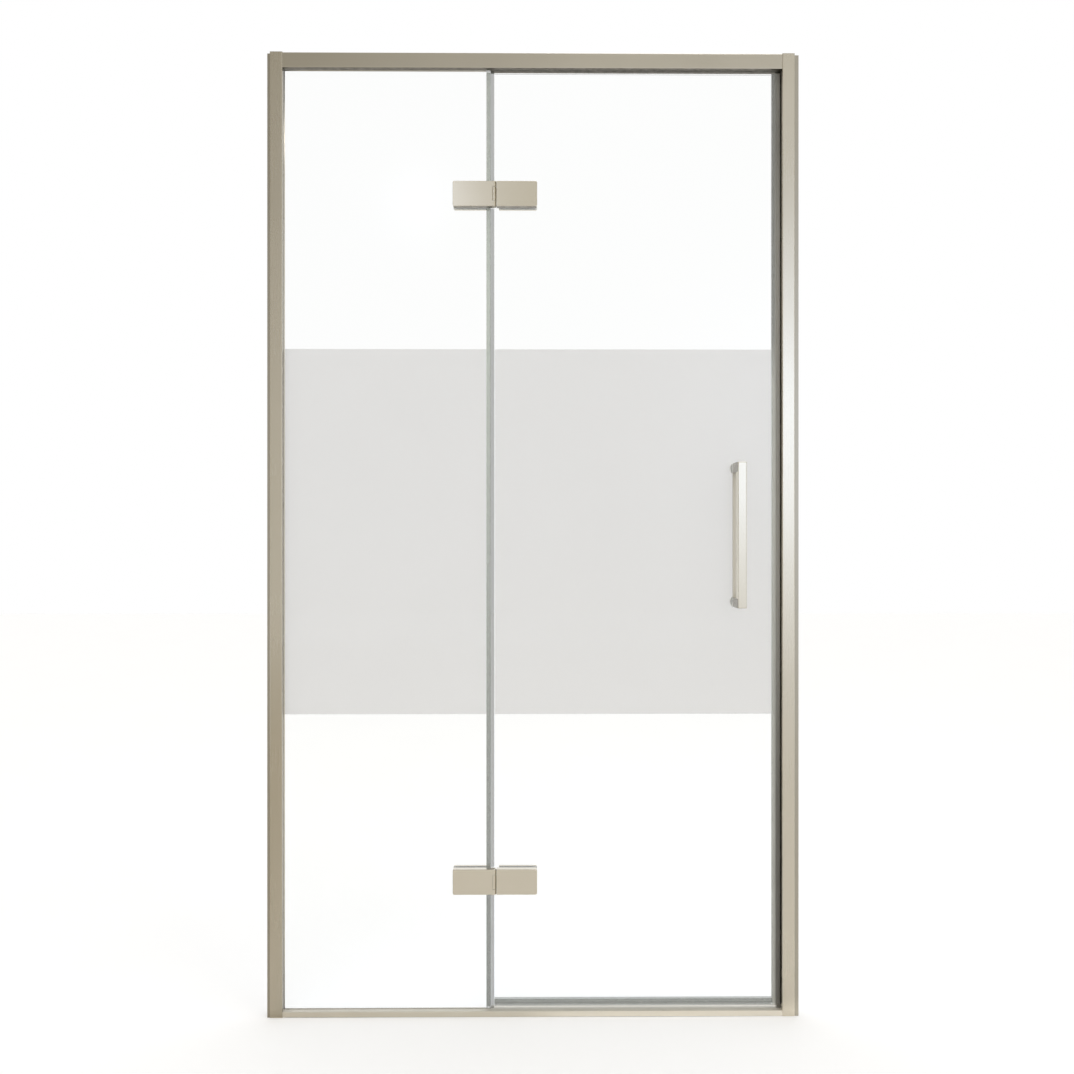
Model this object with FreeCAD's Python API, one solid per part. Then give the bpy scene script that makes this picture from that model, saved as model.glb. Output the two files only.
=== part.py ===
import FreeCAD, Part
import math
import os

# Framed shower door: a fixed glass panel on the left and a hinged glass door on the right.
# Millimetres. X runs to the right as seen from outside, Y into the shower, Z up.
# The origin is on the tray, half way between the walls, in the middle of the glass thickness.

# Overall
overall_width = 1008.0
overall_height = 1829.0
glass_thickness = 8.0
frame_front_reach = 17.0
frame_rear_reach = 9.0

# Clearances
slide_clearance = 0.25
press_clearance = 0.02
seat_clearance = 0.1
running_clearance = 0.05
moving_clearance = 0.3
hole_clearance = 0.05
glass_clearance = 0.05

# Wall channels and jambs
frame_wall = 1.6
frame_edge_radius = 1.2
channel_wall = 1.8
channel_depth = 13.3
channel_show_left = 5.0
channel_show_right = 7.5
channel_top_gap = 2.0
jamb_socket_depth = 11.4
jamb_left_width = 24.0
strike_jamb_width = 23.5
jamb_rear_setback = 4.0
stop_leg_reach = 7.0
cap_thickness = 1.0
cap_plug_depth = 6.0
wall_hole_radius = 2.6
wall_hole_outer_spacing = 1500.0
wall_hole_inner_spacing = 500.0

# Header and sill rails
header_height = 28.3
header_pocket_depth = 15.2
header_rear_setback = 6.8
sill_height = 10.0
sill_rear_height = 4.6
sill_pocket_depth = 8.4
rail_setback = 0.5
bedding_thickness = 1.2
bedding_inset = 1.0
pocket_width = 13.0
infill_thickness = 2.0
infill_leg_height = 4.5
infill_gap = 0.5
port_wall = 1.4

# Frame screws
frame_screw_radius = 1.9
frame_screw_head_radius = 3.4
frame_screw_head_height = 2.2
corner_screw_bite = 20.0
channel_screw_length = 7.0
channel_screw_pitch = 700.0

# Fixed panel glazing
glass_edge_bevel = 0.8
glass_bite_side = 9.5
glass_bite_top = 13.0
setting_block_height = 2.0
setting_block_length = 60.0
setting_block_inset = 70.0
gasket_depth = 8.0
edge_seal_grip = 7.8
seal_wall = 1.1
bulb_gap = 0.6

# Door panel
fixed_glass_setback = 6.2
door_glass_setback = 1.3
door_floor_gap = 8.8
door_head_gap = 3.7
strike_gap = 1.3
magnet_seal_nose = 8.2
magnet_seal_grip = 6.9
magnet_wall = 0.9
magnet_thickness = 4.0
magnet_seal_drop = 4.5
sweep_grip = 8.5
sweep_front_drop = 4.2
sweep_rear_drop = 5.2
film_thickness = 0.2
film_low = 571.0
film_high = 1270.0
film_margin = 0.5

# Hinges
hinge_lower_z = 256.0
hinge_upper_drop = 267.5
hinge_axis_x = -75.8
hinge_height = 48.0
fixed_leaf_length = 77.3
door_leaf_length = 82.9
leaf_thickness = 12.0
leaf_corner_radius = 3.0
leaf_edge_chamfer = 0.7
barrel_radius = 5.5
ear_height = 10.0
pin_radius = 3.0
pin_end_inset = 0.8
bush_wall = 0.95
bush_length = 8.0
bush_flange = 0.5
clamp_gasket = 1.0
gasket_inset = 0.6
back_plate_thickness = 6.0
fixed_plate_inset = 8.0
door_plate_inset = 10.0
clamp_near = 24.0
clamp_far = 60.0
clamp_screw_radius = 3.0
clamp_head_radius = 5.6
clamp_screw_bite = 8.0
key_flats = 4.0
key_depth = 2.2
glass_hole_radius = 7.0

# Pull handle
handle_edge_distance = 74.8
handle_mid_z = 914.0
handle_length = 273.0
handle_width = 16.7
handle_reach = 48.0
handle_bar_depth = 14.0
handle_post_height = 18.0
handle_edge_radius = 1.5
base_plate_thickness = 4.0
handle_gasket = 0.8
handle_screw_bite = 18.0
rosette_radius = 11.0
rosette_thickness = 4.0
rosette_chamfer = 1.2
handle_head_radius = 5.0
handle_head_height = 3.2

# Derived places
half_width = overall_width / 2
half_glass = glass_thickness / 2
half_pocket = pocket_width / 2
jamb_top = overall_height - cap_thickness
left_inner_x = -half_width + channel_show_left + jamb_left_width
left_rear_x = left_inner_x - jamb_rear_setback
right_inner_x = half_width - channel_show_right - strike_jamb_width
rail_front_y = -frame_front_reach + rail_setback
header_bottom = jamb_top - header_height
header_rear_bottom = header_bottom + header_rear_setback
sill_top = bedding_thickness + sill_height
sill_rear_top = bedding_thickness + sill_rear_height
fixed_left_x = left_inner_x - glass_bite_side
fixed_right_x = hinge_axis_x - fixed_glass_setback
fixed_bottom_z = sill_top - sill_pocket_depth + setting_block_height
fixed_top_z = header_bottom + glass_bite_top
door_left_x = hinge_axis_x + door_glass_setback
door_seal_x = right_inner_x - strike_gap
door_right_x = door_seal_x - magnet_seal_nose
door_bottom_z = sill_top + door_floor_gap
door_top_z = header_bottom - door_head_gap
hinge_axis_y = -frame_front_reach + barrel_radius
leaf_back_y = -frame_front_reach + leaf_thickness
plate_front_y = half_glass + clamp_gasket
plate_back_y = plate_front_y + back_plate_thickness
bush_outer_radius = pin_radius + running_clearance + bush_wall
knuckle_gap = bush_flange + moving_clearance
door_leaf_start = barrel_radius + moving_clearance
front_port_y = (rail_front_y - half_pocket) / 2
header_front_port_z = header_bottom + header_pocket_depth / 2
header_top_port_z = (header_bottom + header_pocket_depth + jamb_top) / 2
sill_port_z = bedding_thickness + sill_height / 2
channel_front_y = -frame_front_reach + frame_wall + slide_clearance
channel_rear_y = frame_rear_reach - frame_wall - slide_clearance
channel_mid_y = (channel_front_y + channel_rear_y) / 2
wall_mid_z = jamb_top / 2
hinge_upper_z = overall_height - hinge_upper_drop
handle_x = door_right_x - handle_edge_distance
handle_low_z = handle_mid_z - handle_length / 2
handle_high_z = handle_mid_z + handle_length / 2
handle_screw_zs = [handle_low_z + handle_post_height / 2, handle_high_z - handle_post_height / 2]
handle_front_y = -half_glass - handle_reach
base_front_y = -half_glass - handle_gasket - base_plate_thickness
hinge_centres = {"lower": hinge_lower_z, "upper": hinge_upper_z}
spill = 5.0


def box(x_span, y_span, z_span):
    """Block between three pairs of limits."""
    low = FreeCAD.Vector(min(x_span), min(y_span), min(z_span))
    high = FreeCAD.Vector(max(x_span), max(y_span), max(z_span))
    size = high - low
    return Part.makeBox(size.x, size.y, size.z, low)


def rod(radius, start, end):
    """Round bar from one point to another."""
    first = FreeCAD.Vector(*start)
    run = FreeCAD.Vector(*end) - first
    return Part.makeCylinder(radius, run.Length, first, run)


def tube(outer, inner, start, end):
    """Round tube from one point to another."""
    return rod(outer, start, end).cut(rod(inner, start, end))


def taper(radius_start, radius_end, start, end):
    """Cone frustum from one point to another."""
    first = FreeCAD.Vector(*start)
    run = FreeCAD.Vector(*end) - first
    return Part.makeCone(radius_start, radius_end, run.Length, first, run)


def key_recess(x, y_face, z):
    """Hexagon socket for a key, sunk from a face that looks into the shower."""
    corner = FreeCAD.Vector(key_flats / 2 / math.cos(math.pi / 6), 0, 0)
    turn = FreeCAD.Rotation(FreeCAD.Vector(0, 1, 0), 60)
    centre = FreeCAD.Vector(x, y_face - key_depth, z)
    corners = []
    for step in range(7):
        corners.append(centre + corner)
        corner = turn.multVec(corner)
    return Part.Face(Part.makePolygon(corners)).extrude(FreeCAD.Vector(0, key_depth, 0))


def edges_where(shape, test):
    """Edges whose centre and direction pass a test."""
    return [e for e in shape.Edges if test(e.CenterOfMass, e.tangentAt(e.FirstParameter))]


def near(value, target):
    """True where two lengths are the same place."""
    return abs(value - target) < 0.01


def side_box(side, inward, y_span, z_span):
    """Block placed by its distance inward from the left (-1) or right (+1) wall."""
    return box([side * (half_width - u) for u in inward], y_span, z_span)


def show_of(side):
    """Width of wall channel that stays in view."""
    return channel_show_left if side < 0 else channel_show_right


def inner_of(side):
    """Distance from the wall to the inner face of the jamb."""
    return show_of(side) + (jamb_left_width if side < 0 else strike_jamb_width)


def rail_screw_places():
    """Height and depth of each screw that holds a rail to a jamb."""
    header = [(front_port_y, header_front_port_z), (0.0, header_top_port_z)]
    sill = [(front_port_y, sill_port_z)]
    return {"top": header, "bottom": sill}


def channel_screw_zs():
    """Heights of the screws that lock a jamb on its wall channel."""
    return [wall_mid_z + step * channel_screw_pitch for step in (-1, 0, 1)]


def channel_screw_inward(side):
    """Distance from the wall to the jamb locking screws."""
    return (show_of(side) + channel_depth) / 2


def wall_channel(side):
    """U channel screwed to the wall, with four fixing holes in its web."""
    z_span = (0.0, jamb_top - channel_top_gap)
    shape = side_box(side, (0, channel_depth), (channel_front_y, channel_rear_y), z_span)
    hollow_y = (channel_front_y + frame_wall, channel_rear_y - frame_wall)
    shape = shape.cut(side_box(side, (channel_wall, channel_depth + spill), hollow_y, z_span))
    for spacing in (wall_hole_outer_spacing, wall_hole_inner_spacing):
        for z in (wall_mid_z - spacing / 2, wall_mid_z + spacing / 2):
            start = (side * (half_width - channel_wall - 1), channel_mid_y, z)
            shape = shape.cut(rod(wall_hole_radius, start, (side * (half_width + 1), channel_mid_y, z)))
    return shape.cut(channel_screw_holes(side))


def channel_screw_holes(side):
    """Holes through the rear walls of jamb and channel for the locking screws."""
    x = side * (half_width - channel_screw_inward(side))
    radius = frame_screw_radius + hole_clearance
    start_y = channel_rear_y - frame_wall - 1
    return Part.makeCompound(
        [rod(radius, (x, start_y, z), (x, frame_rear_reach + 1, z)) for z in channel_screw_zs()]
    )


def jamb_blank(side, z_low, z_high):
    """Outline of a jamb with softened long edges."""
    limits = (show_of(side), inner_of(side))
    shape = side_box(side, limits, (-frame_front_reach, frame_rear_reach), (z_low, z_high))
    picks = edges_where(shape, lambda c, t: near(abs(t.z), 1) and near(c.y, -frame_front_reach))
    return shape.makeFillet(frame_edge_radius, picks)


def jamb_chamber(side, inset, z_low, z_high):
    """Closed hollow behind the front face of a jamb."""
    inward = (show_of(side) + jamb_socket_depth + frame_wall + inset, inner_of(side) - frame_wall - inset)
    y_span = (-frame_front_reach + frame_wall + inset, -half_pocket - frame_wall - inset)
    return side_box(side, inward, y_span, (z_low, z_high))


def jamb(side):
    """Extruded jamb: a socket over the wall channel, a front chamber and a pocket on the inside."""
    z_span = (-spill, jamb_top + spill)
    shape = jamb_blank(side, 0.0, jamb_top)
    if side > 0:
        stop_inward = (inner_of(side) - frame_wall, inner_of(side) + stop_leg_reach)
        stop_z = (sill_top, header_bottom)
        shape = shape.fuse(side_box(side, stop_inward, (half_pocket, frame_rear_reach), stop_z))
    else:
        rear_inward = (inner_of(side) - jamb_rear_setback, inner_of(side) + spill)
        shape = shape.cut(side_box(side, rear_inward, (0, frame_rear_reach + spill), z_span))
    socket_y = (-frame_front_reach + frame_wall, frame_rear_reach - frame_wall)
    socket = (show_of(side) - spill, show_of(side) + jamb_socket_depth)
    pocket = (show_of(side) + jamb_socket_depth + frame_wall, inner_of(side) + spill)
    shape = shape.cut(side_box(side, socket, socket_y, z_span))
    shape = shape.cut(side_box(side, pocket, (-half_pocket, half_pocket), z_span))
    shape = shape.cut(jamb_chamber(side, 0.0, *z_span))
    shape = shape.cut(channel_screw_holes(side))
    return shape.cut(Part.makeCompound(rail_screw_holes(side))).removeSplitter()


def rail_screw_holes(side):
    """Holes through a jamb for the screws that hold header and sill."""
    radius = frame_screw_radius + hole_clearance
    start = side * (half_width - show_of(side))
    end = side * (half_width - inner_of(side) - 1)
    places = sum(rail_screw_places().values(), [])
    return [rod(radius, (start, y, z), (end, y, z)) for y, z in places]


def jamb_caps():
    """Moulded cap on the top of each jamb, plugged into its front chamber."""
    caps = []
    for side in (-1, 1):
        plate = jamb_blank(side, jamb_top, overall_height)
        plug = jamb_chamber(side, slide_clearance, jamb_top - cap_plug_depth, jamb_top)
        caps.append(plate.fuse(plug).removeSplitter())
    return Part.makeCompound(caps)


def rail_port(y, z, wall_end_z):
    """Screw port that runs the whole length of a rail, tied to a wall by a rib."""
    radius = frame_screw_radius + port_wall
    span = (left_inner_x, right_inner_x)
    pipe = rod(radius, (span[0], y, z), (span[1], y, z))
    return pipe.fuse(box(span, (y - port_wall / 2, y + port_wall / 2), (z, wall_end_z)))


def port_bores(name):
    """Bores of the screw ports at both ends of a rail."""
    places = rail_screw_places()[name]
    start, end = left_inner_x - 1, right_inner_x + 1
    return Part.makeCompound([rod(frame_screw_radius, (start, y, z), (end, y, z)) for y, z in places])


def rail_blank(z_low, z_high, soft_zs):
    """Outline of a rail with softened front edges, coped round the front lip of the left jamb."""
    shape = box((left_inner_x, right_inner_x), (rail_front_y, frame_rear_reach), (z_low, z_high))
    picks = edges_where(
        shape,
        lambda c, t: near(abs(t.x), 1) and near(c.y, rail_front_y) and any(near(c.z, z) for z in soft_zs),
    )
    tongue = box((left_rear_x, left_inner_x), (half_pocket, frame_rear_reach), (z_low, z_high))
    return shape.makeFillet(frame_edge_radius, picks).fuse(tongue)


def header_rail():
    """Header: a glazing pocket underneath, a front chamber and a top chamber with screw ports."""
    x_span = (left_rear_x - 1, right_inner_x + 1)
    pocket_top = header_bottom + header_pocket_depth
    shape = rail_blank(header_bottom, jamb_top, (header_bottom, jamb_top))
    shape = shape.cut(box(x_span, (-half_pocket, half_pocket), (header_bottom - 1, pocket_top)))
    shape = shape.cut(box(x_span, (0, frame_rear_reach + 1), (header_bottom - 1, header_rear_bottom)))
    front_y = (rail_front_y + frame_wall, -half_pocket - frame_wall)
    shape = shape.cut(box(x_span, front_y, (header_bottom + frame_wall, jamb_top - frame_wall)))
    top_y = (-half_pocket, frame_rear_reach - frame_wall)
    shape = shape.cut(box(x_span, top_y, (pocket_top + frame_wall, jamb_top - frame_wall)))
    shape = shape.fuse(rail_port(front_port_y, header_front_port_z, header_bottom + frame_wall / 2))
    shape = shape.fuse(rail_port(0.0, header_top_port_z, jamb_top - frame_wall / 2))
    return shape.cut(port_bores("top")).removeSplitter()


def sill_rail():
    """Sill: a glazing pocket on top, a front chamber with a screw port and a lower rear wall for drainage."""
    x_span = (left_rear_x - 1, right_inner_x + 1)
    shape = rail_blank(bedding_thickness, sill_top, (sill_top,))
    shape = shape.cut(box(x_span, (-half_pocket, half_pocket), (sill_top - sill_pocket_depth, sill_top + 1)))
    shape = shape.cut(box(x_span, (0, frame_rear_reach + 1), (sill_rear_top, sill_top + 1)))
    front_y = (rail_front_y + frame_wall, -half_pocket - frame_wall)
    shape = shape.cut(box(x_span, front_y, (bedding_thickness + frame_wall, sill_top - frame_wall)))
    shape = shape.fuse(rail_port(front_port_y, sill_port_z, bedding_thickness + frame_wall / 2))
    return shape.cut(port_bores("bottom")).removeSplitter()


def sill_bedding_strip():
    """Closed-cell sealing strip that beds the sill on the tray."""
    y_span = (rail_front_y + bedding_inset, frame_rear_reach - bedding_inset)
    return box((left_inner_x, right_inner_x), y_span, (0.0, bedding_thickness))


def infill(flush_z, into):
    """Clip-in strip that closes a rail pocket across the doorway: a face and two legs."""
    x_span = (fixed_right_x + infill_gap, right_inner_x)
    outer = half_pocket - seat_clearance
    face = box(x_span, (-outer, outer), (flush_z, flush_z + into * infill_thickness))
    inner = outer - infill_thickness
    leg_z = (flush_z, flush_z + into * (infill_thickness + infill_leg_height))
    legs = [box(x_span, (side * inner, side * outer), leg_z) for side in (-1, 1)]
    return face.multiFuse(legs).removeSplitter()


def screw(radius, head_radius, start, shoulder, top):
    """Pan head screw: shank from start to shoulder, head from shoulder to top."""
    return rod(radius, start, shoulder).fuse(rod(head_radius, shoulder, top))


def corner_screws(name):
    """Screws from the jamb sockets into the ports of a rail."""
    screws = []
    for side in (-1, 1):
        shoulder = side * (half_width - show_of(side) - jamb_socket_depth)
        tip = side * (half_width - inner_of(side) - corner_screw_bite)
        top = shoulder + side * frame_screw_head_height
        for y, z in rail_screw_places()[name]:
            places = [(x, y, z) for x in (tip, shoulder, top)]
            screws.append(screw(frame_screw_radius, frame_screw_head_radius, *places))
    return Part.makeCompound(screws)


def channel_fixing_screws():
    """Screws from inside the shower that lock each jamb on its wall channel."""
    screws = []
    for side in (-1, 1):
        x = side * (half_width - channel_screw_inward(side))
        ys = (frame_rear_reach - channel_screw_length, frame_rear_reach)
        top_y = frame_rear_reach + frame_screw_head_height
        for z in channel_screw_zs():
            places = [(x, y, z) for y in (*ys, top_y)]
            screws.append(screw(frame_screw_radius, frame_screw_head_radius, *places))
    return Part.makeCompound(screws)


def pane(x_span, z_span, holes):
    """Toughened glass pane with ground edges and drilled holes."""
    shape = box(x_span, (-half_glass, half_glass), z_span)
    picks = edges_where(shape, lambda c, t: near(t.y, 0))
    shape = shape.makeChamfer(glass_edge_bevel, picks)
    drills = [rod(glass_hole_radius, (x, -spill, z), (x, spill, z)) for x, z in holes]
    return shape.cut(Part.makeCompound(drills))


def clamp_xs(side):
    """Positions of the clamp screws on the fixed (-1) or door (+1) side of the hinges."""
    return [hinge_axis_x + side * clamp_near, hinge_axis_x + side * clamp_far]


def clamp_places(side):
    """Clamp screw centres on both hinges."""
    return [(x, z) for z in hinge_centres.values() for x in clamp_xs(side)]


def fixed_glass():
    """Fixed pane, set in the left jamb, header and sill."""
    return pane((fixed_left_x, fixed_right_x), (fixed_bottom_z, fixed_top_z), clamp_places(-1))


def door_glass():
    """Door pane, drilled for hinges and handle."""
    holes = clamp_places(1) + [(handle_x, z) for z in handle_screw_zs]
    return pane((door_left_x, door_right_x), (door_bottom_z, door_top_z), holes)


def privacy_film(x_span, cuts):
    """Satin film on the inner face of a pane."""
    front_y = half_glass + glass_clearance
    y_span = (front_y, front_y + film_thickness)
    shape = box((x_span[0] + film_margin, x_span[1] - film_margin), y_span, (film_low, film_high))
    radius = rosette_radius + film_margin
    discs = [rod(radius, (x, 0, z), (x, half_glass + spill, z)) for x, z in cuts]
    return shape.cut(Part.makeCompound(discs)) if discs else shape


def fixed_privacy_film():
    """Film between the left jamb and the edge seal."""
    return privacy_film((left_rear_x, fixed_right_x - edge_seal_grip), [])


def door_privacy_film():
    """Film between the hinge edge and the magnet seal, cut out round the handle fixings."""
    cuts = [(handle_x, z) for z in handle_screw_zs]
    return privacy_film((door_left_x + glass_edge_bevel, door_right_x - magnet_seal_grip), cuts)


def gasket_strip(side, x_span, z_span):
    """Glazing wedge between the front (-1) or rear (+1) face of the fixed pane and the pocket wall."""
    y_span = (side * (half_glass + glass_clearance), side * (half_pocket - seat_clearance))
    return box(x_span, y_span, z_span)


def glazing_gasket_left():
    """Wedges in the pocket of the left jamb, each level with the edge of its lip."""
    z_span = (sill_top, header_bottom)
    front = gasket_strip(-1, (left_inner_x - gasket_depth, left_inner_x), z_span)
    rear = gasket_strip(1, (left_inner_x - gasket_depth, left_rear_x), z_span)
    return Part.makeCompound([front, rear])


def glazing_gasket_top():
    """Wedges in the pocket of the header, each level with the edge of its lip."""
    x_span = (left_inner_x, fixed_right_x)
    high = fixed_top_z - glass_edge_bevel
    front = gasket_strip(-1, x_span, (header_bottom, header_bottom + gasket_depth))
    rear = gasket_strip(1, x_span, (header_rear_bottom, high))
    return Part.makeCompound([front, rear])


def glazing_gasket_bottom():
    """Wedge at the front of the sill pocket; the rear stays open for drainage."""
    z_span = (fixed_bottom_z + glass_edge_bevel, sill_top)
    return gasket_strip(-1, (left_inner_x, fixed_right_x), z_span)


def setting_blocks():
    """Two blocks that carry the fixed pane in the sill pocket."""
    z_span = (fixed_bottom_z - setting_block_height, fixed_bottom_z)
    blocks = []
    for x in (left_inner_x + setting_block_inset, fixed_right_x - setting_block_inset):
        x_span = (x - setting_block_length / 2, x + setting_block_length / 2)
        blocks.append(box(x_span, (-half_glass, half_glass), z_span))
    return Part.makeCompound(blocks)


def grip_channel(edge_x, grip, direction, z_span):
    """U shaped seal body pressed over a vertical glass edge."""
    outer = half_glass + seal_wall
    web_x = edge_x + direction * seal_wall
    shape = box((edge_x - direction * grip, web_x), (-outer, outer), z_span)
    slot = half_glass + glass_clearance
    slot_x = (edge_x - direction * (grip + 1), edge_x + direction * glass_clearance)
    return shape.cut(box(slot_x, (-slot, slot), z_span))


def edge_seal(z_span):
    """Seal on the free edge of the fixed pane, with a hollow bulb towards the door."""
    body = grip_channel(fixed_right_x, edge_seal_grip, 1, z_span)
    bulb_x = (fixed_right_x + seal_wall, door_left_x - bulb_gap)
    bulb = box(bulb_x, (-half_glass, half_glass), z_span)
    picks = edges_where(bulb, lambda c, t: near(abs(t.z), 1) and near(c.x, bulb_x[1]))
    bulb = bulb.makeFillet(half_glass - seal_wall, picks)
    hollow_y = (-half_glass + seal_wall, half_glass - seal_wall)
    hollow = box((bulb_x[0], bulb_x[1] - seal_wall), hollow_y, z_span)
    return body.fuse(bulb.cut(hollow)).removeSplitter()


def edge_seals():
    """The three lengths of edge seal above, between and below the hinges."""
    half = hinge_height / 2 + moving_clearance
    spans = {
        "lower": (sill_top, hinge_lower_z - half),
        "middle": (hinge_lower_z + half, hinge_upper_z - half),
        "upper": (hinge_upper_z + half, header_bottom),
    }
    return {f"edge_seal_{name}": edge_seal(span) for name, span in spans.items()}


def magnet_core(side):
    """Limits of the magnet strip in the door seal (-1) or the strike holder (+1)."""
    if side < 0:
        start = door_seal_x - magnet_wall - magnet_thickness
    else:
        start = right_inner_x + seat_clearance + magnet_wall
    half = half_glass - seat_clearance
    return (start, start + magnet_thickness), (-half, half)


def door_magnet_seal():
    """Seal on the closing edge of the door, with a chamber for the magnet strip."""
    z_span = (door_bottom_z - magnet_seal_drop, door_top_z)
    outer = half_glass + seal_wall
    body = grip_channel(door_right_x, magnet_seal_grip, 1, z_span)
    nose = box((door_right_x + seal_wall, door_seal_x), (-outer, outer), z_span)
    picks = edges_where(nose, lambda c, t: near(abs(t.z), 1) and near(c.x, door_seal_x))
    nose = nose.makeFillet(seal_wall, picks)
    core_x, core_y = magnet_core(-1)
    hollow_x = (door_right_x + seal_wall + magnet_wall, core_x[1])
    return body.fuse(nose.cut(box(hollow_x, core_y, z_span))).removeSplitter()


def door_magnet():
    """Magnet strip of the door."""
    core_x, core_y = magnet_core(-1)
    return box(core_x, core_y, (door_bottom_z, door_top_z))


def strike_magnet_holder():
    """Push-in profile in the pocket of the strike jamb that carries its magnet strip."""
    z_span = (sill_top, header_bottom)
    depth = strike_jamb_width - jamb_socket_depth - frame_wall
    outer = half_pocket - seat_clearance
    x_span = (right_inner_x + seat_clearance, right_inner_x + depth - seat_clearance)
    shape = box(x_span, (-outer, outer), z_span)
    core_x, core_y = magnet_core(1)
    shape = shape.cut(box(core_x, core_y, z_span))
    rear_hollow = (core_x[1] + magnet_wall, x_span[1] + 1)
    return shape.cut(box(rear_hollow, (-outer + seal_wall, outer - seal_wall), z_span))


def strike_magnet():
    """Magnet strip of the strike jamb."""
    core_x, core_y = magnet_core(1)
    return box(core_x, core_y, (sill_top, header_bottom))


def door_sweep():
    """Seal under the door: a grip over the glass edge and two wiping fins."""
    x_span = (door_left_x, door_right_x - magnet_seal_grip)
    outer = half_glass + seal_wall
    shape = box(x_span, (-outer, outer), (door_bottom_z - seal_wall, door_bottom_z + sweep_grip))
    slot = half_glass + glass_clearance
    slot_z = (door_bottom_z - glass_clearance, door_bottom_z + sweep_grip + 1)
    shape = shape.cut(box(x_span, (-slot, slot), slot_z))
    fin_top = door_bottom_z - seal_wall
    drops = {-1: fin_top - sweep_front_drop, 1: fin_top - sweep_rear_drop}
    inner = half_glass - seal_wall
    fins = [box(x_span, (side * inner, side * half_glass), (low, fin_top)) for side, low in drops.items()]
    return shape.multiFuse(fins).removeSplitter()


def plate(x_span, y_span, z_mid, soft_x):
    """Hinge plate with round corners at its free end and softened outer edges."""
    z_span = (z_mid - hinge_height / 2, z_mid + hinge_height / 2)
    shape = box(x_span, y_span, z_span)
    picks = edges_where(shape, lambda c, t: near(abs(t.y), 1) and near(c.x, soft_x))
    shape = shape.makeFillet(leaf_corner_radius, picks)
    outer_y = max(y_span, key=abs)
    inner_x = max(x_span, key=lambda x: abs(x - soft_x))
    rim = edges_where(shape, lambda c, t: near(c.y, outer_y) and near(t.y, 0) and not near(c.x, inner_x))
    return shape.makeChamfer(leaf_edge_chamfer, rim)


def leaf_span(side):
    """Limits of the fixed (-1) or door (+1) leaf along X."""
    if side < 0:
        return (hinge_axis_x - fixed_leaf_length, hinge_axis_x)
    return (hinge_axis_x + door_leaf_start, hinge_axis_x + door_leaf_length)


def free_end(side):
    """End of a leaf away from the hinge axis."""
    return hinge_axis_x + (door_leaf_length if side > 0 else -fixed_leaf_length)


def leaf_screw_holes(side, z_mid):
    """Blind holes for the clamp screws in the back of a leaf."""
    radius = clamp_screw_radius + hole_clearance
    end_y = leaf_back_y - clamp_screw_bite - hole_clearance
    return Part.makeCompound([rod(radius, (x, leaf_back_y, z_mid), (x, end_y, z_mid)) for x in clamp_xs(side)])


def knuckle_zone(z_mid, margin):
    """Heights between which the door knuckle turns."""
    half = hinge_height / 2 - ear_height - margin
    return (z_mid - half, z_mid + half)


def axis_rod(radius, z_span):
    """Round bar on the hinge axis."""
    return rod(radius, (hinge_axis_x, hinge_axis_y, z_span[0]), (hinge_axis_x, hinge_axis_y, z_span[1]))


def hinge_fixed_leaf(z_mid):
    """Leaf on the fixed pane, with an ear above and below the door knuckle."""
    full = (z_mid - hinge_height / 2, z_mid + hinge_height / 2)
    shape = plate(leaf_span(-1), (-frame_front_reach, leaf_back_y), z_mid, free_end(-1))
    shape = shape.fuse(axis_rod(barrel_radius, full))
    zone = knuckle_zone(z_mid, 0.0)
    shape = shape.cut(axis_rod(door_leaf_start, zone))
    notch_x = (hinge_axis_x - door_leaf_start, hinge_axis_x + door_leaf_start)
    shape = shape.cut(box(notch_x, (hinge_axis_y, leaf_back_y + 1), zone))
    shape = shape.cut(axis_rod(pin_radius + press_clearance, full))
    return shape.cut(leaf_screw_holes(-1, z_mid)).removeSplitter()


def hinge_door_leaf(z_mid):
    """Leaf on the door pane, with a knuckle between the ears of the fixed leaf."""
    zone = knuckle_zone(z_mid, knuckle_gap)
    shape = plate(leaf_span(1), (-frame_front_reach, leaf_back_y), z_mid, free_end(1))
    web_y = (hinge_axis_y, hinge_axis_y + barrel_radius)
    web = box((hinge_axis_x, hinge_axis_x + door_leaf_start + barrel_radius), web_y, zone)
    shape = shape.multiFuse([axis_rod(barrel_radius, zone), web])
    shape = shape.cut(axis_rod(bush_outer_radius + press_clearance, zone))
    return shape.cut(leaf_screw_holes(1, z_mid)).removeSplitter()


def hinge_pin(z_mid):
    """Pin pressed into both ears of the fixed leaf."""
    half = hinge_height / 2 - pin_end_inset
    return axis_rod(pin_radius, (z_mid - half, z_mid + half))


def hinge_bushes(z_mid):
    """Flanged bushes at both ends of the door knuckle."""
    low, high = knuckle_zone(z_mid, knuckle_gap)
    bore = pin_radius + running_clearance
    flange_radius = barrel_radius - seat_clearance
    bushes = []
    for end, direction in ((low, 1), (high, -1)):
        sleeve = axis_rod(bush_outer_radius, sorted((end, end + direction * bush_length)))
        flange = axis_rod(flange_radius, sorted((end - direction * bush_flange, end)))
        bushes.append(sleeve.fuse(flange).cut(axis_rod(bore, (low - spill, high + spill))).removeSplitter())
    return Part.makeCompound(bushes)


def back_span(side):
    """Limits of a back plate along X."""
    inset = fixed_plate_inset if side < 0 else door_plate_inset
    return sorted((free_end(side), hinge_axis_x + side * inset))


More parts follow.
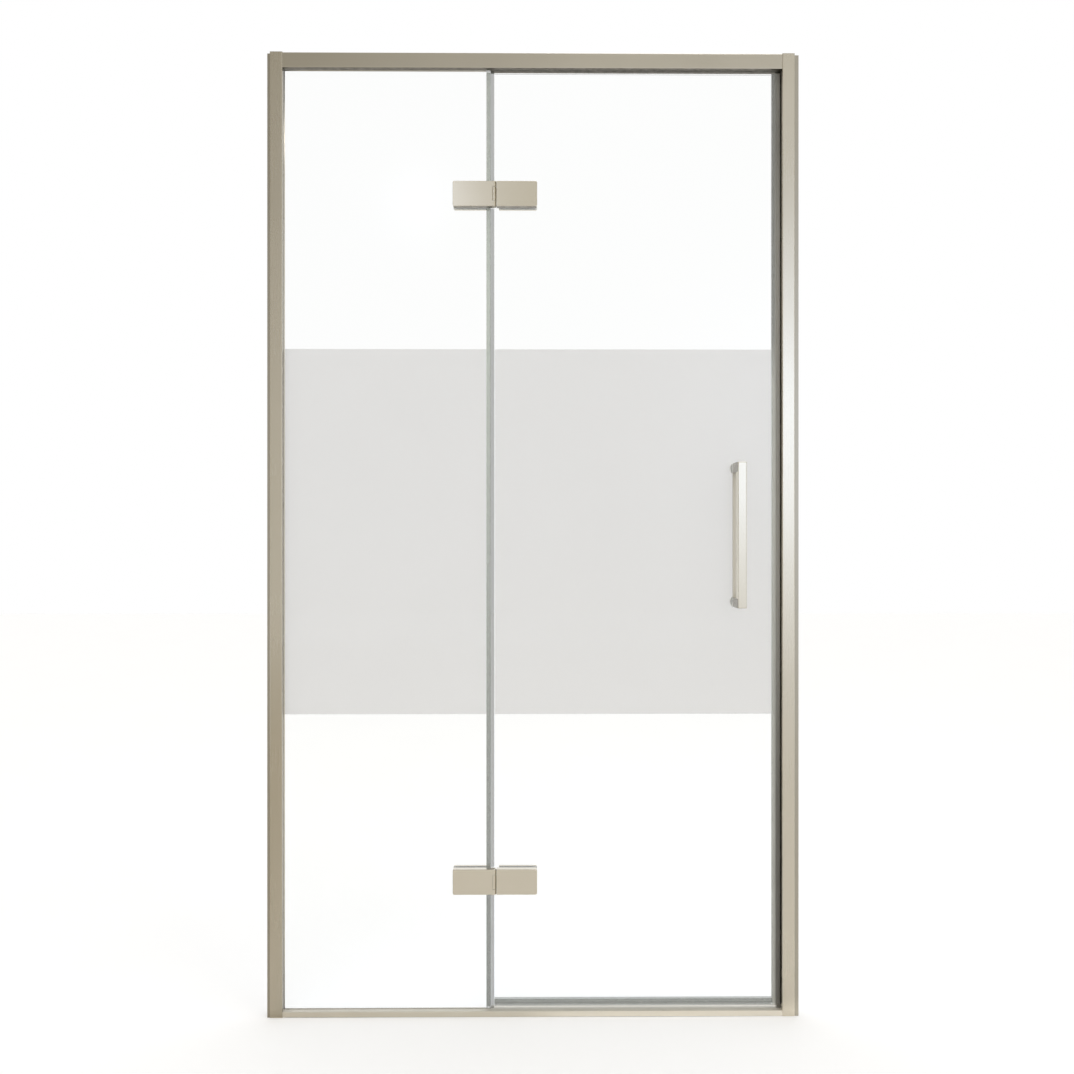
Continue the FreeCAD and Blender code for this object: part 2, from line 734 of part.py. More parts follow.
def hinge_back_plate(side, z_mid):
    """Clamp plate inside the shower, countersunk for two screws."""
    shape = plate(back_span(side), (plate_front_y, plate_back_y), z_mid, free_end(side))
    for x in clamp_xs(side):
        shank = clamp_screw_radius + hole_clearance
        head = clamp_head_radius + hole_clearance
        cone_start = plate_back_y - (clamp_head_radius - clamp_screw_radius)
        shape = shape.cut(rod(shank, (x, plate_front_y - 1, z_mid), (x, plate_back_y + 1, z_mid)))
        shape = shape.cut(taper(shank, head, (x, cone_start, z_mid), (x, plate_back_y, z_mid)))
    return shape


def hinge_gaskets(side, z_mid):
    """Clamp gaskets between the pane and the two hinge plates."""
    low, high = back_span(side)
    x_span = (low + gasket_inset, high - gasket_inset)
    z_span = (z_mid - hinge_height / 2 + gasket_inset, z_mid + hinge_height / 2 - gasket_inset)
    pads = []
    face = half_glass + glass_clearance
    for y_span in ((leaf_back_y, -face), (face, plate_front_y)):
        pad = box(x_span, y_span, z_span)
        for x in clamp_xs(side):
            pad = pad.cut(rod(glass_hole_radius, (x, min(y_span), z_mid), (x, max(y_span), z_mid)))
        pads.append(pad)
    return Part.makeCompound(pads)


def hinge_sleeves(side):
    """Nylon sleeves that keep the clamp screws off the glass."""
    outer = glass_hole_radius - seat_clearance
    inner = clamp_screw_radius + hole_clearance
    places = clamp_places(side)
    return Part.makeCompound([tube(outer, inner, (x, leaf_back_y, z), (x, plate_front_y, z)) for x, z in places])


def clamp_screw(x, z):
    """Countersunk socket screw from the back plate into the leaf."""
    cone_start = plate_back_y - (clamp_head_radius - clamp_screw_radius)
    shape = rod(clamp_screw_radius, (x, leaf_back_y - clamp_screw_bite, z), (x, plate_back_y, z))
    shape = shape.fuse(taper(clamp_screw_radius, clamp_head_radius, (x, cone_start, z), (x, plate_back_y, z)))
    return shape.cut(key_recess(x, plate_back_y, z))


def hinge_screws(side, z_mid):
    """The two clamp screws of one hinge half."""
    return Part.makeCompound([clamp_screw(x, z_mid) for x in clamp_xs(side)])


def handle_x_span():
    """Limits of the handle along X."""
    return (handle_x - handle_width / 2, handle_x + handle_width / 2)


def handle_bar():
    """Square pull: a front bar with a post at each end, drilled for its screws."""
    z_span = (handle_low_z, handle_high_z)
    shape = box(handle_x_span(), (handle_front_y, base_front_y), z_span)
    front = edges_where(shape, lambda c, t: near(c.y, handle_front_y))
    shape = shape.makeFillet(handle_edge_radius, front)
    gap_x = (handle_x - handle_width, handle_x + handle_width)
    gap_z = (handle_low_z + handle_post_height, handle_high_z - handle_post_height)
    shape = shape.cut(box(gap_x, (handle_front_y + handle_bar_depth, base_front_y + 1), gap_z))
    radius = clamp_screw_radius + hole_clearance
    end_y = base_front_y - handle_screw_bite - hole_clearance
    return shape.cut(Part.makeCompound([handle_rod(radius, end_y, base_front_y, z) for z in handle_screw_zs]))


def handle_rod(radius, start_y, end_y, z):
    """Round bar on a handle screw axis."""
    return rod(radius, (handle_x, start_y, z), (handle_x, end_y, z))


def handle_base_plate():
    """Flat plate between the posts and the glass."""
    y_span = (base_front_y, -half_glass - handle_gasket)
    shape = box(handle_x_span(), y_span, (handle_low_z, handle_high_z))
    radius = clamp_screw_radius + hole_clearance
    return shape.cut(Part.makeCompound([handle_rod(radius, *y_span, z) for z in handle_screw_zs]))


def handle_gaskets():
    """A pad under the base plate and a washer under each rosette."""
    x_low, x_high = handle_x_span()
    x_span = (x_low + gasket_inset, x_high - gasket_inset)
    y_span = (-half_glass - handle_gasket, -half_glass - glass_clearance)
    pad = box(x_span, y_span, (handle_low_z + gasket_inset, handle_high_z - gasket_inset))
    bore = glass_hole_radius
    for z in handle_screw_zs:
        pad = pad.cut(handle_rod(bore, *y_span, z))
    ends = (half_glass + glass_clearance, half_glass + handle_gasket)
    outer = rosette_radius - gasket_inset
    washers = [handle_rod(outer, *ends, z).cut(handle_rod(bore, *ends, z)) for z in handle_screw_zs]
    return Part.makeCompound([pad] + washers)


def handle_sleeves():
    """Nylon sleeves round the handle screws in the door pane."""
    outer = glass_hole_radius - seat_clearance
    inner = clamp_screw_radius + hole_clearance
    ends = (-half_glass - handle_gasket, half_glass + handle_gasket)
    return Part.makeCompound(
        [tube(outer, inner, (handle_x, ends[0], z), (handle_x, ends[1], z)) for z in handle_screw_zs]
    )


def handle_rosettes():
    """Round plates under the screw heads inside the shower."""
    ends = (half_glass + handle_gasket, half_glass + handle_gasket + rosette_thickness)
    discs = []
    for z in handle_screw_zs:
        disc = handle_rod(rosette_radius, *ends, z)
        rim = edges_where(disc, lambda c, t: near(c.y, ends[1]) and near(t.y, 0))
        disc = disc.makeChamfer(rosette_chamfer, rim)
        discs.append(disc.cut(handle_rod(clamp_screw_radius + hole_clearance, *ends, z)))
    return Part.makeCompound(discs)


def handle_screws():
    """Cap screws from the rosettes into the posts."""
    shoulder = half_glass + handle_gasket + rosette_thickness
    screws = []
    for z in handle_screw_zs:
        shape = handle_rod(clamp_screw_radius, base_front_y - handle_screw_bite, shoulder, z)
        head = handle_rod(handle_head_radius, shoulder, shoulder + handle_head_height, z)
        top = shoulder + handle_head_height
        screws.append(shape.fuse(head).cut(key_recess(handle_x, top, z)))
    return Part.makeCompound(screws)


def frame_nodes():
    """Fixed frame and its fasteners."""
    return {
        "wall_channel_left": wall_channel(-1),
        "wall_channel_right": wall_channel(1),
        "jamb_left": jamb(-1),
        "strike_jamb": jamb(1),
        "header_rail": header_rail(),
        "sill_rail": sill_rail(),
        "jamb_caps": jamb_caps(),
        "corner_screws_top": corner_screws("top"),
        "corner_screws_bottom": corner_screws("bottom"),
        "channel_fixing_screws": channel_fixing_screws(),
        "sill_bedding_strip": sill_bedding_strip(),
        "header_infill": infill(header_bottom, 1),
        "sill_infill": infill(sill_top, -1),
        "strike_magnet_holder": strike_magnet_holder(),
        "strike_magnet": strike_magnet(),
    }


def panel_nodes():
    """Both panes with their seals."""
    return {
        "fixed_glass": fixed_glass(),
        "fixed_privacy_film": fixed_privacy_film(),
        "glazing_gasket_left": glazing_gasket_left(),
        "glazing_gasket_top": glazing_gasket_top(),
        "glazing_gasket_bottom": glazing_gasket_bottom(),
        "setting_blocks": setting_blocks(),
        **edge_seals(),
        "door_glass": door_glass(),
        "door_privacy_film": door_privacy_film(),
        "door_sweep": door_sweep(),
        "door_magnet_seal": door_magnet_seal(),
        "door_magnet": door_magnet(),
    }


def hinge_nodes():
    """Both hinges, each with a fixed and a door half."""
    nodes = {"hinge_fixed_sleeves": hinge_sleeves(-1), "hinge_door_sleeves": hinge_sleeves(1)}
    for name, z_mid in hinge_centres.items():
        nodes[f"{name}_hinge_fixed_leaf"] = hinge_fixed_leaf(z_mid)
        nodes[f"{name}_hinge_door_leaf"] = hinge_door_leaf(z_mid)
        nodes[f"{name}_hinge_pin"] = hinge_pin(z_mid)
        nodes[f"{name}_hinge_bushes"] = hinge_bushes(z_mid)
        for side, half in ((-1, "fixed"), (1, "door")):
            nodes[f"{name}_hinge_{half}_back_plate"] = hinge_back_plate(side, z_mid)
            nodes[f"{name}_hinge_{half}_gaskets"] = hinge_gaskets(side, z_mid)
            nodes[f"{name}_hinge_{half}_screws"] = hinge_screws(side, z_mid)
    return nodes


def handle_nodes():
    """Pull handle and its fixings."""
    return {
        "handle_bar": handle_bar(),
        "handle_base_plate": handle_base_plate(),
        "handle_gaskets": handle_gaskets(),
        "handle_sleeves": handle_sleeves(),
        "handle_rosettes": handle_rosettes(),
        "handle_screws": handle_screws(),
    }


os.makedirs("parts", exist_ok=True)
for builder in (frame_nodes, panel_nodes, hinge_nodes, handle_nodes):
    for node, shape in builder().items():
        shape.exportStep(f"parts/{node}.step")
        print(node, len(shape.Solids), round(shape.Volume), shape.isValid())
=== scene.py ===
import logging
import math
from collections.abc import Sequence
from dataclasses import dataclass, replace
from enum import Enum

import bpy
import numpy as np
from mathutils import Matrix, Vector


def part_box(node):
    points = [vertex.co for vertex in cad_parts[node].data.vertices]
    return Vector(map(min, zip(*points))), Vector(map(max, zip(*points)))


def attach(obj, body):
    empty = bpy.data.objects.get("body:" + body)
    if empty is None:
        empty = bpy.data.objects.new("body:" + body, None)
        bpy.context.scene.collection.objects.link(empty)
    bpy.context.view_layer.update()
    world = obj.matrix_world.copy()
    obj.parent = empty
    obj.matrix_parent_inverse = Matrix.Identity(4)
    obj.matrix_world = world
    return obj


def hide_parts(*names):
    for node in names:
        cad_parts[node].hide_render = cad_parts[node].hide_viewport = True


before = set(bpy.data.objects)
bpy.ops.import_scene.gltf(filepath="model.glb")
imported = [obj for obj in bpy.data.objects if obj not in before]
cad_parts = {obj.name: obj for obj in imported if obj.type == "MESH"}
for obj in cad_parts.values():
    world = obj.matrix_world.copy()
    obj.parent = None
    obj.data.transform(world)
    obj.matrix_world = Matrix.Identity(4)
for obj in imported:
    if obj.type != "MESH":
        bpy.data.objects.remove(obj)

LOG = logging.getLogger("shower_front")
MM = 0.001
PHOTO_SIDE = 1074
STATIONS = 9
NOISE_MEAN = 0.5
BUMP_STRENGTH = 0.35

Array = np.ndarray
Outline = tuple[Array, Array]
Material = bpy.types.Material
MeshObject = bpy.types.Object
Node = bpy.types.Node
Socket = bpy.types.NodeSocket
Tree = bpy.types.NodeTree
Colour = tuple[float, float, float]
Range = tuple[float, float]
Stops = tuple[Range, ...]

WHITE = (1.0, 1.0, 1.0)
SIDEWAYS = (0.6, 0.95)


class Body(Enum):
    """The two bodies of the frame: what stays on the walls and what swings."""

    FRAME = "frame"
    DOOR = "door"


class Run(Enum):
    """Direction of a straight length; the value lists the axes of its profile and then of its run."""

    ALONG_X = (1, 2, 0)
    ALONG_Z = (0, 1, 2)


class Grain(Enum):
    """Direction of the brushing, as the stretch of the grain noise along X, Y and Z."""

    LEVEL = (0.012, 1.0, 1.0)
    UPRIGHT = (1.0, 1.0, 0.012)
    TURNED = (1.0, 0.15, 1.0)


class SocketKind(Enum):
    """Socket types of the node groups."""

    COLOUR = "NodeSocketColor"
    NUMBER = "NodeSocketFloat"
    VECTOR = "NodeSocketVector"


def rgba(colour: Colour, tone: float = 1.0) -> tuple[float, float, float, float]:
    """Opaque colour for a socket, with its brightness changed by a tone."""
    return (*(tone * part for part in colour), 1.0)


class NodeSheet:
    """A node tree with short ways to add and join nodes."""

    def __init__(self, tree: Tree) -> None:
        """Take over a tree and empty it.

        Args:
            tree: shader tree of a material, a world or a node group.
        """
        self.tree = tree
        self.tree.nodes.clear()

    def add(self, kind: str, inputs: dict[str, object] | None = None, **settings: object) -> Node:
        """Add a node.

        Args:
            kind: node type without the ShaderNode prefix.
            inputs: socket name to a constant, or to an output socket to join.
            settings: properties of the node itself.

        Returns:
            The new node.
        """
        prefix = "" if kind.startswith("NodeGroup") else "ShaderNode"
        node = self.tree.nodes.new(prefix + kind)
        for name, value in settings.items():
            setattr(node, name, value)
        for name, value in (inputs or {}).items():
            self.feed(node.inputs[name], value)
        return node

    def feed(self, socket: Socket, value: object) -> None:
        """Join an output to a socket, or set the socket's constant."""
        if isinstance(value, Socket):
            self.tree.links.new(value, socket)
        else:
            socket.default_value = value

    def pair(self, kind: str, first: object, second: object, **settings: object) -> Node:
        """Add a node whose first two inputs are fed, and return it."""
        node = self.add(kind, **settings)
        self.feed(node.inputs[0], first)
        self.feed(node.inputs[1], second)
        return node

    def maths(self, operation: str, first: object, second: object = 0.0) -> Socket:
        """Join two numbers by an arithmetic operation and return the result socket."""
        return self.pair("Math", first, second, operation=operation).outputs[0]

    def remap(self, value: object, source: Range, target: Range = (0.0, 1.0)) -> Socket:
        """Map one range of numbers on another, held at both ends, and return the result socket."""
        node = self.add("MapRange", {"Value": value}, clamp=True)
        for name, number in zip(("From Min", "From Max", "To Min", "To Max"), source + target):
            node.inputs[name].default_value = number
        return node.outputs[0]

    def tint(self, blend: str, factor: object, first: object, second: object) -> Socket:
        """Mix two colours and return the result socket."""
        node = self.add("Mix", data_type="RGBA", blend_type=blend)
        for index, value in ((0, factor), (6, first), (7, second)):
            self.feed(node.inputs[index], value)
        return node.outputs[2]

    def grey(self, value: object) -> Socket:
        """Turn a number into a grey colour and return the result socket."""
        return self.add("CombineColor", {"Red": value, "Green": value, "Blue": value}).outputs[0]

    def coordinates(self, kind: str = "Object") -> Socket:
        """Socket of the texture coordinates."""
        return self.add("TexCoord").outputs[kind]

    def parts(self, vector: Socket) -> dict[str, Socket]:
        """Split a vector and return the sockets of its parts by the names X, Y and Z."""
        node = self.add("SeparateXYZ", {"Vector": vector})
        return {axis: node.outputs[axis] for axis in "XYZ"}

    def noise(self, scale: float, detail: float, place: Socket | None = None, rough: float = 0.5) -> Socket:
        """Noise over Object coordinates, or over another place, as its value socket."""
        inputs = {"Vector": place or self.coordinates(), "Scale": scale, "Detail": detail, "Roughness": rough}
        return self.add("TexNoise", inputs).outputs[0]


def new_material(name: str) -> tuple[Material, NodeSheet]:
    """Empty node material and the sheet of its tree."""
    made = bpy.data.materials.new(name)
    made.use_nodes = True
    return made, NodeSheet(made.node_tree)


@dataclass(frozen=True)
class FacingLayer:
    """Patchy layer on faces that look up or down, used for settled dust and for painted shade.

    The share that it covers is read off the upward part of the normal, from the facing range to the cover
    range, and is broken up by noise.
    """

    name: str
    facing: Range
    cover: Range
    patch_scale: float
    patch_detail: float
    patch_least: float
    colour: Colour
    roughening: float


SETTLED_DUST = FacingLayer("settled_dust", (0.5, 1.0), (0.0, 1.0), 140.0, 5.0, 0.2, (0.78, 0.77, 0.74), 0.5)
# Painted shade: near-black patches on faces that look down, where shade falls under parts.
PAINTED_UNDERSIDE_SHADE = FacingLayer("water_marks", (-0.96, -0.65), (1.0, 0.0), 90.0, 4.0, 0.8, (0.09, 0.08, 0.065), 0.2)


@dataclass
class SurfaceEffects:
    """Node groups that the finishes share: brushing, worn edges, settled dust and painted shade underneath.
    """

    streak_scale: float = 900.0
    streak_detail: float = 4.0
    streak_breakup: float = 0.65
    streak_roughening: float = 0.7
    cloud_scale: float = 5.0
    cloud_detail: float = 3.0
    cloud_roughening: float = 0.8
    edge_radius: float = 0.7 * MM
    edge_samples: int = 4
    edge_turn: Range = (0.86, 0.995)
    rub_scale: float = 60.0
    rub_detail: float = 3.0
    rub_noise: Range = (0.35, 0.65)
    rub_least: float = 0.35
    rub_polish: float = 0.06
    patch_noise: Range = (0.3, 0.7)

    def __post_init__(self) -> None:
        """Make the four groups."""
        self.grain = self._grain()
        self.wear = self._wear()
        self.dust = self._layer(SETTLED_DUST)
        # painted shade on faces that look down
        self.marks = self._layer(PAINTED_UNDERSIDE_SHADE)

    @staticmethod
    def _open(name: str, extra: dict[str, SocketKind], *numbers: str) -> tuple[NodeSheet, Node, Node]:
        """Start a group that takes a colour and a roughness and gives them back changed.

        Args:
            name: name of the group.
            extra: further input names and socket types.
            numbers: names of further outputs, which are numbers.

        Returns:
            The sheet of the group, its input node and its output node.
        """
        tree = bpy.data.node_groups.new(name, "ShaderNodeTree")
        common = {"Colour": SocketKind.COLOUR, "Roughness": SocketKind.NUMBER}
        results = dict.fromkeys(numbers, SocketKind.NUMBER)
        for way, sockets in (("INPUT", common | extra), ("OUTPUT", common | results)):
            for title, kind in sockets.items():
                tree.interface.new_socket(title, in_out=way, socket_type=kind.value)
        sheet = NodeSheet(tree)
        return sheet, sheet.add("NodeGroupInput"), sheet.add("NodeGroupOutput")

    def _grain(self) -> Tree:
        """Fine streaks from noise that is stretched along the brushing, over slow cloudy changes of tone."""
        extra = {"Stretch": SocketKind.VECTOR, "Streaks": SocketKind.NUMBER, "Clouds": SocketKind.NUMBER}
        sheet, given, made = self._open("satin_grain", extra, "Height")
        place = sheet.coordinates()
        stretched = sheet.pair("VectorMath", place, given.outputs["Stretch"], operation="MULTIPLY").outputs[0]
        fine = sheet.noise(self.streak_scale, self.streak_detail, stretched, self.streak_breakup)
        cloud = sheet.noise(self.cloud_scale, self.cloud_detail, place)
        swing = sheet.maths("MULTIPLY", sheet.maths("SUBTRACT", fine, NOISE_MEAN), given.outputs["Streaks"])
        drift = sheet.maths("MULTIPLY", sheet.maths("SUBTRACT", cloud, NOISE_MEAN), given.outputs["Clouds"])
        tone = sheet.maths("ADD", sheet.maths("ADD", swing, 1.0), drift)
        toned = sheet.tint("MULTIPLY", 1.0, given.outputs["Colour"], sheet.grey(tone))
        sheet.feed(made.inputs["Colour"], toned)
        streaked = sheet.maths("MULTIPLY", swing, self.streak_roughening)
        clouded = sheet.maths("MULTIPLY", drift, self.cloud_roughening)
        rough = sheet.maths("ADD", sheet.maths("ADD", given.outputs["Roughness"], streaked), clouded)
        sheet.feed(made.inputs["Roughness"], rough)
        sheet.feed(made.inputs["Height"], fine)
        return sheet.tree

    def _wear(self) -> Tree:
        """Edges rubbed lighter: how far a rounded normal turns from the true one, broken up by noise."""
        extra = {"Worn colour": SocketKind.COLOUR, "Amount": SocketKind.NUMBER}
        sheet, given, made = self._open("worn_edges", extra)
        soft = sheet.add("Bevel", {"Radius": self.edge_radius}, samples=self.edge_samples).outputs[0]
        true = sheet.add("NewGeometry").outputs["Normal"]
        turn = sheet.pair("VectorMath", soft, true, operation="DOT_PRODUCT").outputs["Value"]
        edge = sheet.remap(turn, self.edge_turn, (1.0, 0.0))
        noise = sheet.noise(self.rub_scale, self.rub_detail)
        patch = sheet.remap(noise, self.rub_noise, (self.rub_least, 1.0))
        share = sheet.maths("MULTIPLY", sheet.maths("MULTIPLY", edge, patch), given.outputs["Amount"])
        worn = sheet.tint("MIX", share, given.outputs["Colour"], given.outputs["Worn colour"])
        sheet.feed(made.inputs["Colour"], worn)
        polish = sheet.maths("MULTIPLY", share, self.rub_polish)
        sheet.feed(made.inputs["Roughness"], sheet.maths("SUBTRACT", given.outputs["Roughness"], polish))
        return sheet.tree

    def _layer(self, look: FacingLayer) -> Tree:
        """Layer that lies on faces which look one way and makes them rougher.

        Args:
            look: where the layer lies and what it looks like.

        Returns:
            The group.
        """
        sheet, given, made = self._open(look.name, {"Amount": SocketKind.NUMBER})
        normal = sheet.parts(sheet.add("NewGeometry").outputs["Normal"])
        faced = sheet.remap(normal["Z"], look.facing, look.cover)
        noise = sheet.noise(look.patch_scale, look.patch_detail)
        patch = sheet.remap(noise, self.patch_noise, (look.patch_least, 1.0))
        share = sheet.maths("MULTIPLY", sheet.maths("MULTIPLY", faced, patch), given.outputs["Amount"])
        covered = sheet.tint("MIX", share, given.outputs["Colour"], rgba(look.colour))
        sheet.feed(made.inputs["Colour"], covered)
        rough = sheet.maths("MULTIPLY", share, look.roughening)
        sheet.feed(made.inputs["Roughness"], sheet.maths("ADD", given.outputs["Roughness"], rough))
        return sheet.tree


@dataclass(frozen=True)
class Finish:
    """A procedural finish: one shader whose colour, roughness and relief come from the shared effects."""

    name: str
    slot: str
    colour: Colour
    roughness: float
    worn_colour: Colour = WHITE
    metallic: float = 0.0
    transmission: float = 0.0
    ior: float = 1.5
    alpha: float = 1.0
    streaks: float = 0.1
    clouds: float = 0.1
    wear: float = 0.0
    dust: float = 0.0
    # strength of the painted shade on faces that look down
    marks: float = 0.0
    relief: float = 0.02 * MM
    grain: Grain = Grain.UPRIGHT

    def material(self, effects: SurfaceEffects) -> Material:
        """Make the material.

        Args:
            effects: shared node groups.

        Returns:
            The material of this finish.
        """
        made, sheet = new_material(f"finish_{self.name}")
        look = {"Metallic": self.metallic, "IOR": self.ior, "Alpha": self.alpha}
        shader = sheet.add("BsdfPrincipled", look | {"Transmission Weight": self.transmission})
        brushing = {"Stretch": self.grain.value, "Streaks": self.streaks, "Clouds": self.clouds}
        base = {"Colour": self.ground(sheet), "Roughness": self.roughness}
        grain = sheet.add("Group", brushing | base, node_tree=effects.grain)
        worn = {"Worn colour": rgba(self.worn_colour)}
        last = grain
        for group, amount, extra in (
            (effects.wear, self.wear, worn),
            (effects.dust, self.dust, {}),
            # painted shade on faces that look down
            (effects.marks, self.marks, {}),
        ):
            if amount > 0.0:
                given = {title: last.outputs[title] for title in base}
                last = sheet.add("Group", given | {"Amount": amount} | extra, node_tree=group)
        sheet.feed(shader.inputs["Base Color"], last.outputs["Colour"])
        sheet.feed(shader.inputs["Roughness"], last.outputs["Roughness"])
        relief = {"Strength": BUMP_STRENGTH, "Distance": self.relief, "Height": grain.outputs["Height"]}
        sheet.feed(shader.inputs["Normal"], sheet.add("Bump", relief).outputs[0])
        sheet.add("OutputMaterial", {"Surface": shader.outputs[0]})
        return made

    def ground(self, sheet: NodeSheet) -> object:
        """Colour under the effects: a constant, unless a finish has zones."""
        return rgba(self.colour)


@dataclass(frozen=True)
class UprightSealFinish(Finish):
    """Vinyl of an upright seal: a grip on the pane and a core beyond it, which meet at a plane of constant X.

    Painted light and shade change the tone of both with height, as pairs of height and tone say.
    """

    top_z: float = 1.829
    split_x: float = 0.0
    split_soft: float = 2.0 * MM
    # pairs of height and tone: painted light and shade along the seal
    light_stops: Stops = ((0.0, 1.0),)
    core_colour: Colour = WHITE
    core_light_stops: Stops = ((0.0, 1.0),)

    def ground(self, sheet: NodeSheet) -> object:
        """Grip and core, joined over a short blend."""
        place = sheet.parts(sheet.coordinates())
        zone = sheet.remap(place["X"], (self.split_x - self.split_soft, self.split_x + self.split_soft))
        height = sheet.maths("DIVIDE", place["Z"], self.top_z)
        grip = self._tones(sheet, height, self.colour, self.light_stops)
        core = self._tones(sheet, height, self.core_colour, self.core_light_stops)
        return sheet.tint("MIX", zone, grip, core)

    def _tones(self, sheet: NodeSheet, height: Socket, colour: Colour, light_stops: Stops) -> Socket:
        """Colour whose painted light and shade change with height.

        Args:
            sheet: node tree of the material.
            height: height as a share of the top.
            colour: colour at tone 1.
            light_stops: pairs of height and painted tone, from the lowest up.

        Returns:
            Output socket with the colour.
        """
        ramp = sheet.add("ValToRGB", {"Fac": height})
        marks = ramp.color_ramp.elements
        marks.remove(marks[-1])
        for index, (level, tone) in enumerate(light_stops):
            mark = marks.new(level / self.top_z) if index else marks[0]
            mark.position = level / self.top_z
            mark.color = rgba(colour, tone)
        return ramp.outputs[0]


@dataclass(frozen=True)
class JambFinish(Finish):
    """Nickel of a jamb, with painted light and shade on the side that looks into the doorway."""

    inner_tone: float = 1.0
    inner_way: float = 1.0

    def ground(self, sheet: NodeSheet) -> object:
        """Brushed nickel, and its painted inner tone on faces that look along X the inner way."""
        normal = sheet.parts(sheet.coordinates("Normal"))
        inner = sheet.remap(sheet.maths("MULTIPLY", normal["X"], self.inner_way), SIDEWAYS)
        return sheet.tint("MIX", inner, rgba(self.colour), rgba(self.colour, self.inner_tone))


@dataclass(frozen=True)
class HandleFinish(Finish):
    """Nickel of the pull: painted light on the flanks of the grip, painted shade on those of the posts."""

    grip_painted_light: float = 1.36
    post_painted_shade: float = 0.56
    post_soft: float = 0.5 * MM
    post_reach: float = 0.0
    mid_z: float = 0.0

    def ground(self, sheet: NodeSheet) -> object:
        """Brushed nickel, with painted light and shade on faces that look sideways, split where the posts
        begin.
        """
        height = sheet.parts(sheet.coordinates())["Z"]
        away = sheet.maths("ABSOLUTE", sheet.maths("SUBTRACT", height, self.mid_z))
        post = sheet.remap(away, (self.post_reach - self.post_soft, self.post_reach + self.post_soft))
        side = sheet.tint("MIX", post, rgba(self.colour, self.grip_painted_light), rgba(self.colour, self.post_painted_shade))
        normal = sheet.parts(sheet.coordinates("Normal"))
        flank = sheet.remap(sheet.maths("ABSOLUTE", normal["X"]), SIDEWAYS)
        return sheet.tint("MIX", flank, rgba(self.colour), side)


NICKEL = (0.68, 0.645, 0.57)
NICKEL_WORN = (0.80, 0.78, 0.72)
# Paler plating: painted light that makes up for the shade under the door sweep.
PAINTED_LIGHT_PLATING = (0.93, 0.905, 0.85)
# Paler plating of the handle's base plate: painted light in the shaded gap behind the grip.
PAINTED_LIGHT_BASE_PLATING = (0.93, 0.92, 0.89)
VINYL = (0.36, 0.39, 0.36)


def nickel(name: str, grain: Grain, roughness: float = 0.30, tone: float = 1.0, plating: Colour = NICKEL,
           marks: float = 0.85, kind: type[Finish] = Finish, **zones: float) -> Finish:
    """Satin nickel plating with its brushing in one direction.

    Args:
        name: name of the material.
        grain: direction of the brushing.
        roughness: how dull the plating is.
        tone: brightness against the usual plating.
        plating: colour of the plating.
        marks: strength of the painted shade on its faces that look down.
        kind: class of the finish.
        zones: what that class asks for beside a plain finish.

    Returns:
        The finish.
    """
    return kind(name, "satin_nickel", rgba(plating, tone)[:3], roughness, NICKEL_WORN, metallic=1.0,
                streaks=0.06, wear=0.35, dust=0.05, marks=marks, grain=grain, **zones)


UPRIGHT_NICKEL = nickel("satin_nickel_upright", Grain.UPRIGHT, 0.27)
# Painted shade on the left jamb's inner side (tone 0.6), painted light on the strike jamb's inner side (tone
# 1.45).
LEFT_NICKEL = nickel("satin_nickel_left", Grain.UPRIGHT, 0.27, kind=JambFinish, inner_tone=0.6)
STRIKE_NICKEL = nickel("satin_nickel_strike", Grain.UPRIGHT, 0.27, kind=JambFinish, inner_tone=1.45,
                       inner_way=-1.0)
# Darker copy of the plating: painted shade on the strip of the wall channel beside the jamb.
CHANNEL_NICKEL = nickel("satin_nickel_channel", Grain.UPRIGHT, 0.36, 0.68)
HEADER_NICKEL = nickel("satin_nickel_header", Grain.LEVEL, 0.30, 0.88)
# Sill and infill in paler plating: painted light on faces in the shade of the sweep.
SILL_NICKEL = nickel("satin_nickel_sill", Grain.LEVEL, 0.72, 1.0, PAINTED_LIGHT_PLATING)
INFILL_NICKEL = nickel("satin_nickel_infill", Grain.LEVEL, 0.50, 1.04, PAINTED_LIGHT_PLATING)
HINGE_NICKEL = nickel("satin_nickel_hinge", Grain.LEVEL, 0.17, 1.14)
# Back plates get little painted shade underneath, so their undersides stay pale.
BACK_NICKEL = nickel("satin_nickel_back", Grain.LEVEL, 0.17, 1.14, marks=0.1)
# Base plate paler and duller than the rest: painted light in the gap behind the grip.
BASE_NICKEL = nickel("satin_nickel_base", Grain.UPRIGHT, 0.65, 1.05, PAINTED_LIGHT_BASE_PLATING)
TURNED_NICKEL = nickel("satin_nickel_turned", Grain.TURNED, 0.25)
# Painted light on the grip's flanks and painted shade on the posts' flanks, through HandleFinish.
HANDLE_NICKEL = nickel("satin_nickel_handle", Grain.UPRIGHT, 0.25, kind=HandleFinish)
STEEL = Finish("stainless_steel", "steel", (0.62, 0.61, 0.59), 0.26, (0.78, 0.77, 0.75), metallic=1.0,
               wear=0.4, grain=Grain.TURNED)
CLEAR_GLASS = Finish("clear_glass", "clear_glass", (0.984, 0.990, 0.986), 0.004, transmission=1.0, ior=1.22,
                     streaks=0.004, clouds=0.004, relief=0.0005 * MM)
GROUND_EDGE = Finish("ground_glass_edge", "clear_glass", (0.42, 0.56, 0.50), 0.35, streaks=0.2, alpha=0.6)
SATIN_FILM = Finish("satin_film", "satin_film", (0.85, 0.84, 0.83), 0.5, transmission=0.86, ior=1.3,
                    streaks=0.02, clouds=0.015, relief=0.002 * MM)
SEAL_VINYL = Finish("seal_vinyl", "seal_vinyl", VINYL, 0.34, alpha=0.36, streaks=0.12, dust=0.1)
